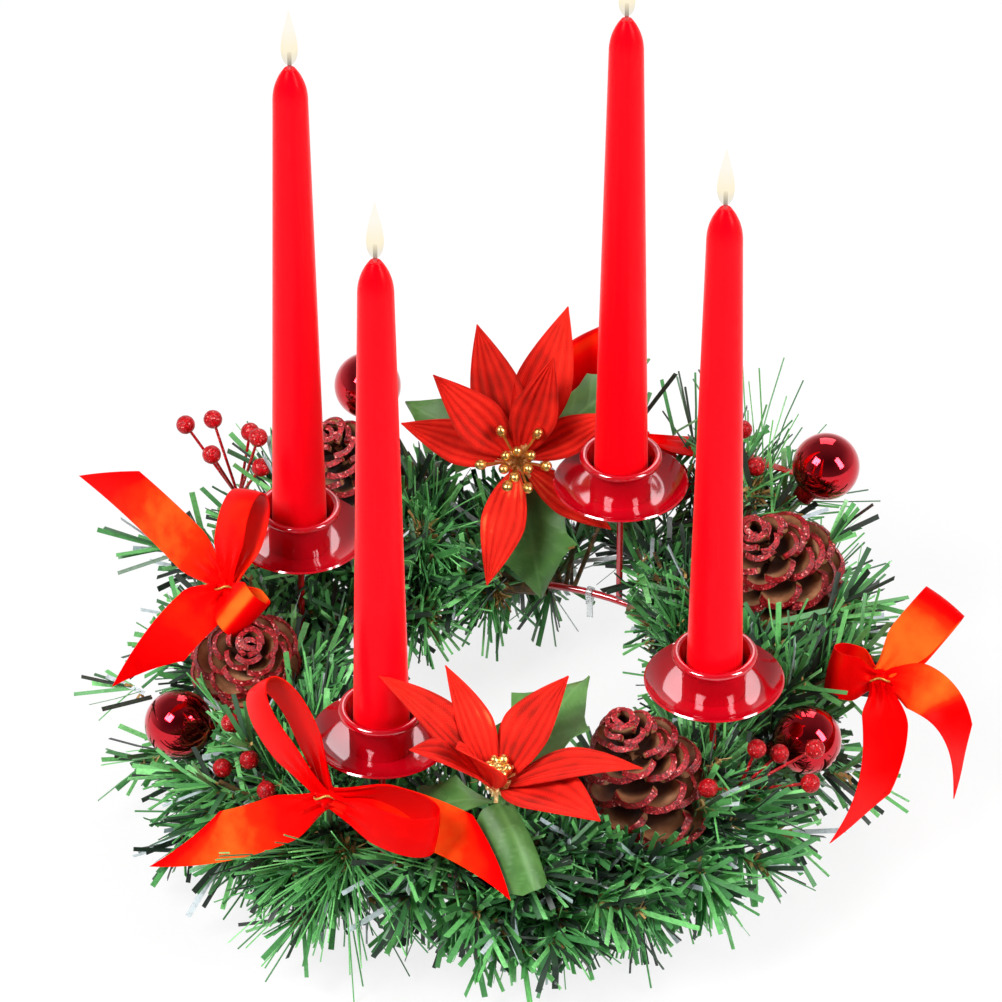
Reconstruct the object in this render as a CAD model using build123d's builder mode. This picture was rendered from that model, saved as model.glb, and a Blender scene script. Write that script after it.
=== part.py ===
from build123d import *
import os
from math import asin, atan2, cos, degrees, hypot, radians, sin

os.makedirs("parts", exist_ok=True)

# Red wire frame, in millimetres: the table top is Z = 0 and the hoop lies level round the Z axis
RING_RADIUS = 93.0
RING_HEIGHT = 37.0
RING_WIRE = 3.0
POST_WIRE = 2.6
POST_RISE = 55.0
FIRST_POST_ANGLE = -30.0
POST_NAMES = ("front_right", "back_right", "back_left", "front_left")
WELD_GAP = 0.05

# Each post ends in a tenon through tray and cup, peened over inside the cup
TENON_WIRE = 2.0
TENON_CLEARANCE = 0.05
PEEN_WIDTH = 4.4
PEEN_HEIGHT = 0.8

# Candle cup with a trumpet wall and a rolled lip
CUP_BORE = 23.0
CUP_WALL = 0.8
CUP_FLOOR = 1.0
CUP_HEIGHT = 18.0
CUP_FLARE = 1.75
CUP_WAIST_FLARE = 0.3
LIP_BEAD = 3.2

# Drip tray: a flat floor with a border round the cup, then a flank curving up to the rim
TRAY_WALL = 0.8
TRAY_BORDER = 2.7
TRAY_FLANK = 12.0
TRAY_DEPTH = 5.0

# Taper candle and its wick
CANDLE_LENGTH = 220.0
CANDLE_SIDE_CLEARANCE = 0.5
CANDLE_SEAT_GAP = 0.3
CANDLE_SHOULDER_WIDTH = 13.5
CANDLE_TIP_WIDTH = 4.4
CANDLE_TIP_HEIGHT = 13.0
CANDLE_TIP_BULGE = 0.8
CANDLE_FOOT_CHAMFER = 0.6
WICK_WIDTH = 1.6
WICK_BURIED = 12.0
WICK_SHOWN = 7.0
WICK_CLEARANCE = 0.05

# Pine garland: eight lengths of core sleeve round the hoop, each with rows of leaning needles
CORE_WIDTH = 10.0
CORE_CLEARANCE = 0.3
CORE_SIDES = 8
BARE_BEFORE_POST = 6.0
BARE_AFTER_POST = 18.0
GARLAND_SPLIT = 2.0
NEEDLE_ROWS = 7
NEEDLES_AROUND = 8
NEEDLE_LENGTH = 50.0
NEEDLE_LENGTH_CHANGE = 6.0
NEEDLE_LENGTH_BEAT = 2.4
NEEDLE_WIDTH = 1.5
NEEDLE_THICKNESS = 0.8
NEEDLE_LEAN = 32.0
NEEDLE_LEAST = 7.0
NEEDLE_STEP = 1.0
NEEDLE_ROOM = 1.6
FOOT_CUT = 0.5

# Clear ties that hold the garland ends to the bare hoop
TIE_AFTER_POST = 13.0
TIE_WIDTH = 2.4
TIE_BAND = 0.9
TIE_HEAD = 3.4
TIE_TAIL_LENGTH = 9.0
TIE_TAIL_THICKNESS = 0.9

# Green pick wires that hold each ornament to the garland core
PICK_WIRE = 1.8

# Places are a ring angle in degrees, then millimetres outward and upward from the hoop's centre line,
# and the ring angle after a place is where its wire leaves the core
BAUBLE_WIDTH = 27.0
BAUBLE_WALL = 0.8
BAUBLE_NECK = 5.0
BAUBLE_PLACES = {
    "left": ((184.0, 35.0, 8.0), 184.0),
    "back": ((112.8, 49.0, 71.0), 98.0),
    "right": ((34.0, 62.0, 63.0), 36.0),
    "front": ((-15.0, 29.0, 18.0), -15.0),
}
CAP_WIDTH = 8.4
CAP_HEIGHT = 3.5
CAP_SKIRT = 1.2

# Pine cones: place of the middle, the way the tip points as right, away and up, and the straight end of the wire
CONE_LENGTH = 52.0
CONE_CORE_WIDTH = 11.0
CONE_TOP_WIDTH = 4.0
CONE_SCALE_THICKNESS = 1.3
CONE_SCALE_ROWS = ((5.0, 22.0, 13.0, 8.0), (13.0, 22.0, 13.0, 18.0), (21.0, 20.5, 12.5, 27.0),
                   (29.0, 18.0, 11.5, 36.0), (37.0, 14.5, 10.0, 46.0), (44.0, 10.5, 8.0, 57.0))
CONE_SCALES_PER_ROW = 7
CONE_ROW_TURN = 137.5
CONES = {
    "left": ((180.0, 7.5, 34.0), (0.05, -0.62, 0.78), 10.0),
    "back": ((119.5, 34.0, 46.0), (-0.35, -0.25, 0.90), 10.0),
    "right": ((26.0, 31.0, 39.0), (-0.40, -0.60, 0.69), 10.0),
    "front": ((-54.5, -2.0, 38.0), (-0.22, -0.19, 0.96), 0.0),
}

# Poinsettias: place, tilt of the face towards the front, petals and leaves as azimuth, raise, length, width
PETAL_THICKNESS = 0.8
PETAL_FOLD = 12.0
PETAL_ROOT = 3.0
PETAL_HUB_WIDTH = 11.0
PETAL_HUB_HEIGHT = 2.0
CALYX_WIDTH = 5.0
CALYX_LENGTH = 5.0
LEAF_THICKNESS = 0.8
LEAF_FOLD = 10.0
LEAF_HUB_WIDTH = 8.0
LEAF_HUB_HEIGHT = 2.4
LEAF_WIRE_GAP = 0.5
STAMEN_WIRE = 1.0
STAMEN_BALL = 3.6
STAMEN_HUB_WIDTH = 5.0
STAMEN_HUB_HEIGHT = 1.6
STAMEN_COUNT = 9
STAMEN_LENGTHS = (17.0, 12.5)
FLOWERS = {
    "back": {
        "place": (86.6, 0.0, 61.0),
        "tilt": 53.0,
        "stamen_raise": (52.0, 72.0),
        "petals": ((106.6, 4.0, 54.0, 21.0), (72.0, 2.0, 62.0, 23.0), (134.6, 24.0, 48.0, 20.0),
                   (71.0, 30.0, 45.0, 19.0), (162.0, 6.0, 46.0, 18.0), (256.0, 5.0, 48.0, 18.0),
                   (324.0, -12.0, 45.0, 15.0), (26.5, -6.0, 40.0, 16.0)),
        "leaves": ((152.0, -14.0, 54.0, 32.0), (280.0, -8.0, 57.0, 31.0), (38.0, -4.0, 68.0, 24.0)),
    },
    "front": {
        "place": (-89.2, 13.5, 61.0),
        "tilt": 0.0,
        "stamen_raise": (70.0, 80.0),
        "petals": ((160.0, 46.0, 57.0, 19.0), (123.7, 50.0, 43.0, 17.0), (45.0, 43.0, 42.0, 19.0),
                   (347.0, 23.0, 51.0, 19.0), (316.0, 14.0, 50.0, 22.0), (211.0, 43.0, 45.0, 19.0),
                   (222.0, 60.0, 36.0, 17.0)),
        "leaves": ((54.5, 18.0, 60.0, 34.0), (300.5, -42.0, 38.0, 24.0), (168.0, -17.0, 50.0, 24.0)),
    },
}

# Ribbon bows: knot place, bend of the wire, loops as reach right, away and up with their end radius,
# and tails as reach with the height of their wave
RIBBON_WIDTH = 19.0
RIBBON_THICKNESS = 0.6
RIBBON_TILT = 53.0
LOOP_ROOT_RADIUS = 1.5
KNOT_WIDTH = 14.0
BOWS = {
    "left": {
        "place": (176.3, 15.2, 63.0), "elbow": (160.6, 21.5, 25.0), "root_angle": 163.0,
        "loops": ((0.0, 20.0, 30.0, 7.0), (15.0, -9.0, 7.0, 5.0)),
        "tails": ((-61.0, 59.0, 9.0, 4.0), (-44.0, -25.0, -26.0, 4.0)),
    },
    "front_left": {
        "place": (239.6, 38.4, 56.0), "elbow": (235.0, 22.0, 28.0), "root_angle": 230.0,
        "loops": ((-24.0, 17.0, 34.0, 8.0), (28.0, -12.0, -2.0, 6.0)),
        "tails": ((-63.0, 15.0, -48.0, 5.0), (68.0, -22.0, -33.0, 5.0)),
    },
    "right": {
        "place": (-3.0, 53.5, 29.0), "elbow": (-3.0, 27.0, 16.0), "root_angle": -3.0,
        "loops": ((23.0, 25.0, 15.0, 7.0), (-13.0, -6.0, 2.0, 5.0)),
        "tails": ((-23.0, -80.0, -18.0, 5.0), (21.0, -57.0, -21.0, 4.0)),
    },
    "back": {
        "place": (65.0, 37.5, 53.0), "elbow": (70.0, 20.0, 28.0), "root_angle": 76.0,
        "loops": ((-19.0, 16.0, 22.0, 6.0), (15.0, -8.0, -19.0, 6.0)),
        "tails": ((79.0, -27.0, -5.0, 5.0),),
    },
}

# Berry sprays: root angle, fork place, then the place of each berry
BERRY_WIDTH = 7.5
BERRY_STEM_WIRE = 1.2
BERRY_SEAT_DEPTH = 2.5
BERRY_CLEARANCE = 0.05
SPRAYS = {
    "left": (135.0, (137.0, 53.0, 38.0),
             ((140.8, 71.5, 71.0), (138.0, 63.8, 73.0), (143.0, 53.0, 68.0), (135.7, 48.8, 71.0),
              (139.2, 36.0, 79.0), (138.4, 36.6, 63.0))),
    "front_left": (205.0, (208.0, 14.0, 20.0),
                   ((203.6, 22.0, 38.0), (212.5, 23.0, 33.0), (219.5, 25.0, 28.0), (209.0, 31.0, 27.0))),
    "front_right": (-37.0, (-36.0, 18.0, 20.0),
                    ((-32.6, 22.0, 38.0), (-29.0, 28.0, 33.0), (-27.0, 41.0, 37.0), (-31.0, 44.0, 28.0),
                     (-47.0, 21.0, 36.0))),
    "back_right": (47.0, (46.0, 26.0, 36.0), ((40.7, 39.6, 63.0), (47.6, 49.0, 68.0))),
}


def around(angle, out, up):
    """Point beside the hoop, from its ring angle and its distances outward and upward."""
    reach = RING_RADIUS + out
    return Vector(reach * cos(radians(angle)), reach * sin(radians(angle)), RING_HEIGHT + up)


def core_side(angle, target, wire):
    """Point where a wire bound to the garland core starts out towards a target."""
    across = atan2(target.Z - RING_HEIGHT, hypot(target.X, target.Y) - RING_RADIUS)
    offset = CORE_WIDTH / 2 / cos(radians(180 / CORE_SIDES)) + wire / 2 + WELD_GAP
    return around(angle, offset * cos(across), offset * sin(across))


def tilted(tilt):
    """Unit vector of a face that leans from straight up towards the front."""
    return Vector(0, -sin(radians(tilt)), cos(radians(tilt)))


def save(piece, name):
    """Label a finished piece and write it to its own file."""
    piece.part.label = name
    export_step(piece.part, f"parts/{name}.step")


def round_wire(start, end, wire):
    """Solids of a straight wire with round ends: the run between two points and a ball at each."""
    run = Solid.make_cylinder(wire / 2, (end - start).length, Plane(origin=start, z_dir=end - start))
    return [run, Solid.make_sphere(wire / 2, Plane(start)), Solid.make_sphere(wire / 2, Plane(end))]


# Levels of the stack above each post
TRAY_LEVEL = RING_HEIGHT + POST_RISE
CUP_LEVEL = TRAY_LEVEL + TRAY_WALL + WELD_GAP
PEEN_LEVEL = CUP_LEVEL + CUP_FLOOR + WELD_GAP
CANDLE_LEVEL = PEEN_LEVEL + PEEN_HEIGHT + CANDLE_SEAT_GAP
CUP_BASE_RADIUS = CUP_BORE / 2 + CUP_WALL
CUP_MOUTH_RADIUS = CUP_BORE / 2 + CUP_FLARE
TRAY_FLOOR_RADIUS = CUP_BASE_RADIUS + TRAY_BORDER
TRAY_RADIUS = TRAY_FLOOR_RADIUS + TRAY_FLANK
CANDLE_FOOT_RADIUS = CUP_BORE / 2 - CANDLE_SIDE_CLEARANCE
TENON_HOLE_RADIUS = TENON_WIRE / 2 + TENON_CLEARANCE
POST_ANGLES = [FIRST_POST_ANGLE + 360 / len(POST_NAMES) * i for i in range(len(POST_NAMES))]

# Hoop of the frame
with BuildPart() as frame_ring:
    with BuildSketch(Plane.XZ):
        with Locations((RING_RADIUS, RING_HEIGHT)):
            Circle(RING_WIRE / 2)
    revolve(axis=Axis.Z)
save(frame_ring, "frame_ring")

# Post, drip tray, cup, candle and wick of each of the four places
for post_name, post_angle in zip(POST_NAMES, POST_ANGLES):
    post_foot = around(post_angle, 0, 0)
    post_axis = Axis(post_foot, (0, 0, 1))
    stack = Plane(origin=(post_foot.X, post_foot.Y, 0), x_dir=(1, 0, 0), z_dir=(0, -1, 0))

    with BuildPart() as post:
        with BuildSketch(stack):
            with BuildLine():
                Polyline(
                    (0, RING_HEIGHT),
                    (POST_WIRE / 2, RING_HEIGHT),
                    (POST_WIRE / 2, TRAY_LEVEL - WELD_GAP),
                    (TENON_WIRE / 2, TRAY_LEVEL - WELD_GAP),
                    (TENON_WIRE / 2, PEEN_LEVEL),
                    (PEEN_WIDTH / 2, PEEN_LEVEL),
                    (PEEN_WIDTH / 2, PEEN_LEVEL + PEEN_HEIGHT),
                    (0, PEEN_LEVEL + PEEN_HEIGHT),
                    close=True,
                )
            make_face()
        revolve(axis=post_axis)
        with BuildSketch(Plane.XZ):
            with Locations((RING_RADIUS, RING_HEIGHT)):
                Circle(RING_WIRE / 2 + WELD_GAP)
        revolve(axis=Axis.Z, mode=Mode.SUBTRACT)
    save(post, f"post_{post_name}")

    flank_radius = (TRAY_FLANK**2 + TRAY_DEPTH**2) / (2 * TRAY_DEPTH)
    flank_turn = degrees(asin(TRAY_FLANK / flank_radius))
    with BuildPart() as drip_tray:
        with BuildSketch(stack):
            with BuildLine():
                under = JernArc((TRAY_FLOOR_RADIUS, TRAY_LEVEL), (1, 0), flank_radius, flank_turn)
                over = JernArc(
                    (TRAY_FLOOR_RADIUS, TRAY_LEVEL + TRAY_WALL), (1, 0), flank_radius - TRAY_WALL, flank_turn
                )
                Line(under @ 1, over @ 1)
                Polyline(
                    under @ 0,
                    (TENON_HOLE_RADIUS, TRAY_LEVEL),
                    (TENON_HOLE_RADIUS, TRAY_LEVEL + TRAY_WALL),
                    over @ 0,
                )
            make_face()
        revolve(axis=post_axis)
    save(drip_tray, f"drip_tray_{post_name}")

    bead_level = CUP_LEVEL + CUP_HEIGHT - LIP_BEAD / 2
    waist_level = (CUP_LEVEL + bead_level) / 2
    with BuildPart() as candle_cup:
        with BuildSketch(stack):
            with BuildLine():
                outside = ThreePointArc(
                    (CUP_BASE_RADIUS, CUP_LEVEL),
                    (CUP_BASE_RADIUS + CUP_WAIST_FLARE, waist_level),
                    (CUP_MOUTH_RADIUS + CUP_WALL, bead_level),
                )
                inside = ThreePointArc(
                    (CUP_BORE / 2, CUP_LEVEL + CUP_FLOOR),
                    (CUP_BORE / 2 + CUP_WAIST_FLARE, waist_level),
                    (CUP_MOUTH_RADIUS, bead_level),
                )
                Line(outside @ 1, inside @ 1)
                Polyline(
                    outside @ 0,
                    (TENON_HOLE_RADIUS, CUP_LEVEL),
                    (TENON_HOLE_RADIUS, CUP_LEVEL + CUP_FLOOR),
                    inside @ 0,
                )
            make_face()
            with Locations((CUP_MOUTH_RADIUS + LIP_BEAD / 2, bead_level)):
                Circle(LIP_BEAD / 2)
        revolve(axis=post_axis)
    save(candle_cup, f"candle_cup_{post_name}")

    candle_top = CANDLE_LEVEL + CANDLE_LENGTH
    wick_hole_radius = WICK_WIDTH / 2 + WICK_CLEARANCE
    wick_foot = candle_top - WICK_BURIED
    with BuildPart() as candle:
        with BuildSketch(stack):
            with BuildLine():
                shoulder = (CANDLE_SHOULDER_WIDTH / 2, candle_top - CANDLE_TIP_HEIGHT)
                tip = (CANDLE_TIP_WIDTH / 2, candle_top)
                middle = (
                    (shoulder[0] + tip[0]) / 2 + CANDLE_TIP_BULGE,
                    (shoulder[1] + tip[1]) / 2 + CANDLE_TIP_BULGE,
                )
                ThreePointArc(shoulder, middle, tip)
                Polyline(
                    tip,
                    (wick_hole_radius, candle_top),
                    (wick_hole_radius, wick_foot),
                    (0, wick_foot),
                    (0, CANDLE_LEVEL),
                    (CANDLE_FOOT_RADIUS - CANDLE_FOOT_CHAMFER, CANDLE_LEVEL),
                    (CANDLE_FOOT_RADIUS, CANDLE_LEVEL + CANDLE_FOOT_CHAMFER),
                    shoulder,
                )
            make_face()
        revolve(axis=post_axis)
    save(candle, f"candle_{post_name}")

    with BuildPart() as wick:
        with BuildSketch(Plane(origin=(post_foot.X, post_foot.Y, wick_foot + WICK_CLEARANCE))):
            Circle(WICK_WIDTH / 2)
        extrude(amount=WICK_BURIED + WICK_SHOWN - WICK_CLEARANCE)
    save(wick, f"wick_{post_name}")

# Spaces that the needles keep out of: round-ended runs, as start, end and radius
needle_stops = [(around(a, 0, 0), around(a, 0, POST_RISE), POST_WIRE / 2) for a in POST_ANGLES]
picks = []

# Baubles: hollow balls whose caps point at the core, and the caps that hold their pick wires
with BuildPart() as bauble_caps:
    for bauble_name, (bauble_place, root_angle) in BAUBLE_PLACES.items():
        middle = around(*bauble_place)
        root = core_side(root_angle, middle, PICK_WIRE)
        inward = (root - middle).normalized()
        cap_end = BAUBLE_WIDTH / 2 + CAP_HEIGHT
        with Locations(Plane(origin=middle + inward * cap_end, z_dir=-inward)):
            Cylinder(CAP_WIDTH / 2, CAP_HEIGHT + CAP_SKIRT, align=(Align.CENTER, Align.CENTER, Align.MIN))
        with Locations(middle):
            Sphere(BAUBLE_WIDTH / 2 + WELD_GAP, mode=Mode.SUBTRACT)
        picks.append((root, middle + inward * (cap_end + PICK_WIRE / 2 + WELD_GAP)))
        needle_stops.append((middle, middle + inward * cap_end, BAUBLE_WIDTH / 2))
save(bauble_caps, "bauble_caps")

for bauble_name, (bauble_place, root_angle) in BAUBLE_PLACES.items():
    middle = around(*bauble_place)
    inward = (core_side(root_angle, middle, PICK_WIRE) - middle).normalized()
    with BuildPart() as bauble:
        with Locations(Plane(origin=middle, z_dir=inward)):
            Sphere(BAUBLE_WIDTH / 2)
            Sphere(BAUBLE_WIDTH / 2 - BAUBLE_WALL, mode=Mode.SUBTRACT)
            Cylinder(
                BAUBLE_NECK / 2, BAUBLE_WIDTH, align=(Align.CENTER, Align.CENTER, Align.MIN), mode=Mode.SUBTRACT
            )
    save(bauble, f"bauble_{bauble_name}")

# Pine cone on the Z axis: a tapering core with rows of open scales that rise towards the tip
scale_blades = []
for row, (level, reach, width, raise_angle) in enumerate(CONE_SCALE_ROWS):
    with BuildSketch() as scale_outline:
        Polygon(
            (CONE_TOP_WIDTH / 4, -width / 6),
            (reach * 0.62, -width / 2),
            (reach * 0.90, -width * 0.42),
            (reach, 0),
            (reach * 0.90, width * 0.42),
            (reach * 0.62, width / 2),
            (CONE_TOP_WIDTH / 4, width / 6),
            align=None,
        )
    blade = extrude(scale_outline.sketch, amount=CONE_SCALE_THICKNESS)
    for scale_index in range(CONE_SCALES_PER_ROW):
        turn = 360 / CONE_SCALES_PER_ROW * scale_index + CONE_ROW_TURN * row
        scale_blades.append(Pos(0, 0, level) * Rot(0, 0, turn) * Rot(0, -raise_angle, 0) * blade)
with BuildPart() as cone_pattern:
    Cone(
        CONE_CORE_WIDTH / 2, CONE_TOP_WIDTH / 2, CONE_LENGTH, align=(Align.CENTER, Align.CENTER, Align.MIN)
    )
    add(scale_blades)

# The four pine cones, each at its place with its own lean
for cone_name, (cone_place, cone_way, straight_end) in CONES.items():
    along = Vector(*cone_way).normalized()
    base = around(*cone_place) - along * (CONE_LENGTH / 2)
    with BuildPart() as pine_cone:
        add(cone_pattern.part.moved(Location(Plane(origin=base, z_dir=along))))
    save(pine_cone, f"pine_cone_{cone_name}")
    seat = base - along * (PICK_WIRE / 2 + WELD_GAP)
    elbow = seat - along * straight_end
    picks.append((core_side(cone_place[0], elbow, PICK_WIRE), elbow))
    if straight_end > 0:
        picks.append((elbow, seat))
    widest = max(reach for level, reach, width, raise_angle in CONE_SCALE_ROWS)
    needle_stops.append((base + along * (widest / 3), base + along * (CONE_LENGTH - widest), widest))
    needle_stops.append((base, base + along * CONE_LENGTH, widest / 2))


def flower_direction(face, azimuth, raise_angle):
    """Outward, lengthwise and upper-side directions of a petal or leaf of a flower."""
    right = Vector(1, 0, 0)
    away = face.cross(right)
    outward = right * cos(radians(azimuth)) + away * sin(radians(azimuth))
    along = outward * cos(radians(raise_angle)) + face * sin(radians(raise_angle))
    upper = face * cos(radians(raise_angle)) - outward * sin(radians(raise_angle))
    return outward, along, upper


def folded_planes(root, along, upper, fold):
    """The two planes of a blade that is folded up along its middle rib, each with its side."""
    side = upper.cross(along)
    planes = []
    for hand in (1, -1):
        normal = upper * cos(radians(fold)) - side * (hand * sin(radians(fold)))
        planes.append((hand, Plane(origin=root, x_dir=along, z_dir=normal)))
    return planes


# Poinsettias: petals on a hub with a calyx, lobed leaves on their own hub below, stamens above
for flower_name, flower in FLOWERS.items():
    middle = around(*flower["place"])
    face = tilted(flower["tilt"])
    hub_base = middle - face * (PETAL_HUB_HEIGHT / 2)
    leaf_hub_top = hub_base - face * (CALYX_LENGTH + WELD_GAP)
    leaf_level = leaf_hub_top - face * LEAF_HUB_HEIGHT

    with BuildPart() as petals:
        with Locations(Plane(origin=hub_base, z_dir=face)):
            Cylinder(PETAL_HUB_WIDTH / 2, PETAL_HUB_HEIGHT, align=(Align.CENTER, Align.CENTER, Align.MIN))
        with Locations(Plane(origin=hub_base, z_dir=-face)):
            Cylinder(CALYX_WIDTH / 2, CALYX_LENGTH, align=(Align.CENTER, Align.CENTER, Align.MIN))
        for azimuth, raise_angle, length, width in flower["petals"]:
            outward, along, upper = flower_direction(face, azimuth, raise_angle)
            root = middle + outward * PETAL_ROOT - face * (PETAL_THICKNESS / 2)
            for hand, half in folded_planes(root, along, upper, PETAL_FOLD):
                with BuildSketch(half):
                    with BuildLine():
                        edge = ThreePointArc((0, 0), (length * 0.48, hand * width / 2), (length, 0))
                        Line(edge @ 1, edge @ 0)
                    make_face()
                extrude(amount=PETAL_THICKNESS)
            needle_stops.append((root, root + along * (length - width / 4), width / 2))
    save(petals, f"poinsettia_{flower_name}_petals")

    with BuildPart() as leaves:
        with Locations(Plane(origin=leaf_hub_top, z_dir=-face)):
            Cylinder(LEAF_HUB_WIDTH / 2, LEAF_HUB_HEIGHT, align=(Align.CENTER, Align.CENTER, Align.MIN))
        for azimuth, raise_angle, length, width in flower["leaves"]:
            outward, along, upper = flower_direction(face, azimuth, raise_angle)
            for hand, half in folded_planes(leaf_level, along, upper, LEAF_FOLD):
                with BuildSketch(half):
                    with BuildLine():
                        Polyline(
                            (0, 0),
                            (length * 0.08, hand * width * 0.10),
                            (length * 0.36, hand * width * 0.50),
                            (length * 0.46, hand * width * 0.37),
                            (length * 0.64, hand * width * 0.42),
                            (length * 0.72, hand * width * 0.24),
                            (length, 0),
                            close=True,
                        )
                    make_face()
                extrude(amount=LEAF_THICKNESS)
            needle_stops.append((leaf_level, leaf_level + along * (length - width / 4), width / 2))
    save(leaves, f"poinsettia_{flower_name}_leaves")

    stamen_base = middle + face * (PETAL_HUB_HEIGHT / 2 + WELD_GAP)
    with BuildPart() as stamens:
        with Locations(Plane(origin=stamen_base, z_dir=face)):
            Cylinder(STAMEN_HUB_WIDTH / 2, STAMEN_HUB_HEIGHT, align=(Align.CENTER, Align.CENTER, Align.MIN))
        for stamen_index in range(STAMEN_COUNT):
            kind = stamen_index % len(STAMEN_LENGTHS)
            azimuth = 360 / STAMEN_COUNT * stamen_index
            outward, along, upper = flower_direction(face, azimuth, flower["stamen_raise"][kind])
            stem_foot = stamen_base + face * (STAMEN_HUB_HEIGHT / 2)
            stem_end = stem_foot + along * STAMEN_LENGTHS[kind]
            with Locations(Plane(origin=stem_foot, z_dir=along)):
                Cylinder(
                    STAMEN_WIRE / 2, STAMEN_LENGTHS[kind], align=(Align.CENTER, Align.CENTER, Align.MIN)
                )
            with Locations(stem_end):
                Sphere(STAMEN_BALL / 2)
    save(stamens, f"poinsettia_{flower_name}_stamens")

    seat = leaf_level - face * (PICK_WIRE / 2 + LEAF_WIRE_GAP)
    picks.append((core_side(flower["place"][0], seat, PICK_WIRE), seat))


def teardrop(root_radius, end_radius, distance):
    """Closed outline round two circles a distance apart, as a ribbon loop runs."""
    slope = asin((end_radius - root_radius) / distance)
    root_x = -root_radius * sin(slope)
    root_y = root_radius * cos(slope)
    end_x = distance - end_radius * sin(slope)
    end_y = end_radius * cos(slope)
    with BuildLine() as outline:
        Line((root_x, root_y), (end_x, end_y))
        ThreePointArc((end_x, end_y), (distance + end_radius, 0), (end_x, -end_y))
        Line((end_x, -end_y), (root_x, -root_y))
        ThreePointArc((root_x, -root_y), (-root_radius, 0), (root_x, root_y))
    return outline.edges()


def ribbon_plane(knot, reach):
    """Plane of a ribbon's edge: local X along its reach and local Z across its width."""
    along = reach.normalized()
    across = along.cross(tilted(RIBBON_TILT)).normalized()
    return Plane(origin=knot, x_dir=along, z_dir=across)


# Ribbon bows: two loops and their tails out of a knot
for bow_name, bow in BOWS.items():
    knot = around(*bow["place"])
    with BuildPart() as ribbon_bow:
        with Locations(knot):
            Sphere(KNOT_WIDTH / 2)
        for right, away, up, end_radius in bow["loops"]:
            reach = Vector(right, away, up)
            span = reach.length - end_radius
            with BuildSketch(ribbon_plane(knot, reach)):
                make_face(teardrop(LOOP_ROOT_RADIUS, end_radius, span))
                make_face(
                    teardrop(LOOP_ROOT_RADIUS - RIBBON_THICKNESS, end_radius - RIBBON_THICKNESS, span),
                    mode=Mode.SUBTRACT,
                )
            extrude(amount=RIBBON_WIDTH / 2, both=True)
            needle_stops.append((knot, knot + reach, RIBBON_WIDTH / 2))
        for right, away, up, wave in bow["tails"]:
            reach = Vector(right, away, up)
            quarter = reach.length / 4
            bend = (quarter**2 + wave**2) / (2 * wave)
            turn = asin(quarter / bend)
            slant = (cos(turn), sin(turn))
            offset = (-sin(turn) * RIBBON_THICKNESS / 2, cos(turn) * RIBBON_THICKNESS / 2)
            with BuildSketch(ribbon_plane(knot, reach)):
                with BuildLine():
                    rise_over = JernArc(offset, slant, bend + RIBBON_THICKNESS / 2, -2 * degrees(turn))
                    fall_over = JernArc(
                        rise_over @ 1, rise_over % 1, bend - RIBBON_THICKNESS / 2, 2 * degrees(turn)
                    )
                    rise_under = JernArc(
                        (-offset[0], -offset[1]), slant, bend - RIBBON_THICKNESS / 2, -2 * degrees(turn)
                    )
                    fall_under = JernArc(
                        rise_under @ 1, rise_under % 1, bend + RIBBON_THICKNESS / 2, 2 * degrees(turn)
                    )
                    Line(rise_over @ 0, rise_under @ 0)
                    Line(fall_over @ 1, fall_under @ 1)
                make_face()
            extrude(amount=RIBBON_WIDTH / 2, both=True)
            needle_stops.append((knot, knot + reach, RIBBON_WIDTH / 2))
    save(ribbon_bow, f"ribbon_bow_{bow_name}")
    elbow = around(*bow["elbow"])
    inward = (elbow - knot).normalized()
    picks.append((core_side(bow["root_angle"], elbow, PICK_WIRE), elbow))
    picks.append((elbow, knot + inward * (KNOT_WIDTH / 2 + PICK_WIRE / 2 + WELD_GAP)))

# Berry sprays: a wire from the core to a fork, then a wire into each berry
stem_runs = []
for spray_name, (root_angle, fork_place, berry_places) in SPRAYS.items():
    fork = around(*fork_place)
    root = core_side(root_angle, fork, BERRY_STEM_WIRE)
    stem_runs += round_wire(root, fork, BERRY_STEM_WIRE)
    stem_radius = BERRY_STEM_WIRE / 2
    needle_stops.append((root, fork, BERRY_STEM_WIRE / 2))
    for berry_place in berry_places:
        berry_middle = around(*berry_place)
        inward = (fork - berry_middle).normalized()
        stem_end = berry_middle + inward * (BERRY_WIDTH / 2 - BERRY_SEAT_DEPTH)
        stem_plane = Plane(origin=fork, z_dir=stem_end - fork)
        stem_runs.append(Solid.make_cylinder(stem_radius, (stem_end - fork).length, stem_plane))
        needle_stops.append((fork, stem_end, stem_radius))
        needle_stops.append((berry_middle, stem_end, BERRY_WIDTH / 2))
with BuildPart() as berry_stems:
    add(stem_runs)
save(berry_stems, "berry_stems")

for spray_name, (root_angle, fork_place, berry_places) in SPRAYS.items():
    fork = around(*fork_place)
    with BuildPart() as berries:
        for berry_place in berry_places:
            berry_middle = around(*berry_place)
            inward = (fork - berry_middle).normalized()
            hole_end = berry_middle + inward * (BERRY_WIDTH / 2 - BERRY_SEAT_DEPTH - BERRY_CLEARANCE)
            with Locations(Plane(origin=berry_middle, z_dir=inward)):
                Sphere(BERRY_WIDTH / 2)
            with Locations(Plane(origin=hole_end, z_dir=inward)):
                Cylinder(
                    BERRY_STEM_WIRE / 2 + BERRY_CLEARANCE,
                    BERRY_WIDTH / 2,
                    align=(Align.CENTER, Align.CENTER, Align.MIN),
                    mode=Mode.SUBTRACT,
                )
    save(berries, f"berries_{spray_name}")

# Pick wires of the baubles, cones, flowers and bows
pick_runs = []
for root, seat in picks:
    pick_runs += round_wire(root, seat, PICK_WIRE)
    needle_stops.append((root, seat, PICK_WIRE / 2))
with BuildPart() as pick_wires:
    add(pick_runs)
save(pick_wires, "pick_wires")

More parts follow.
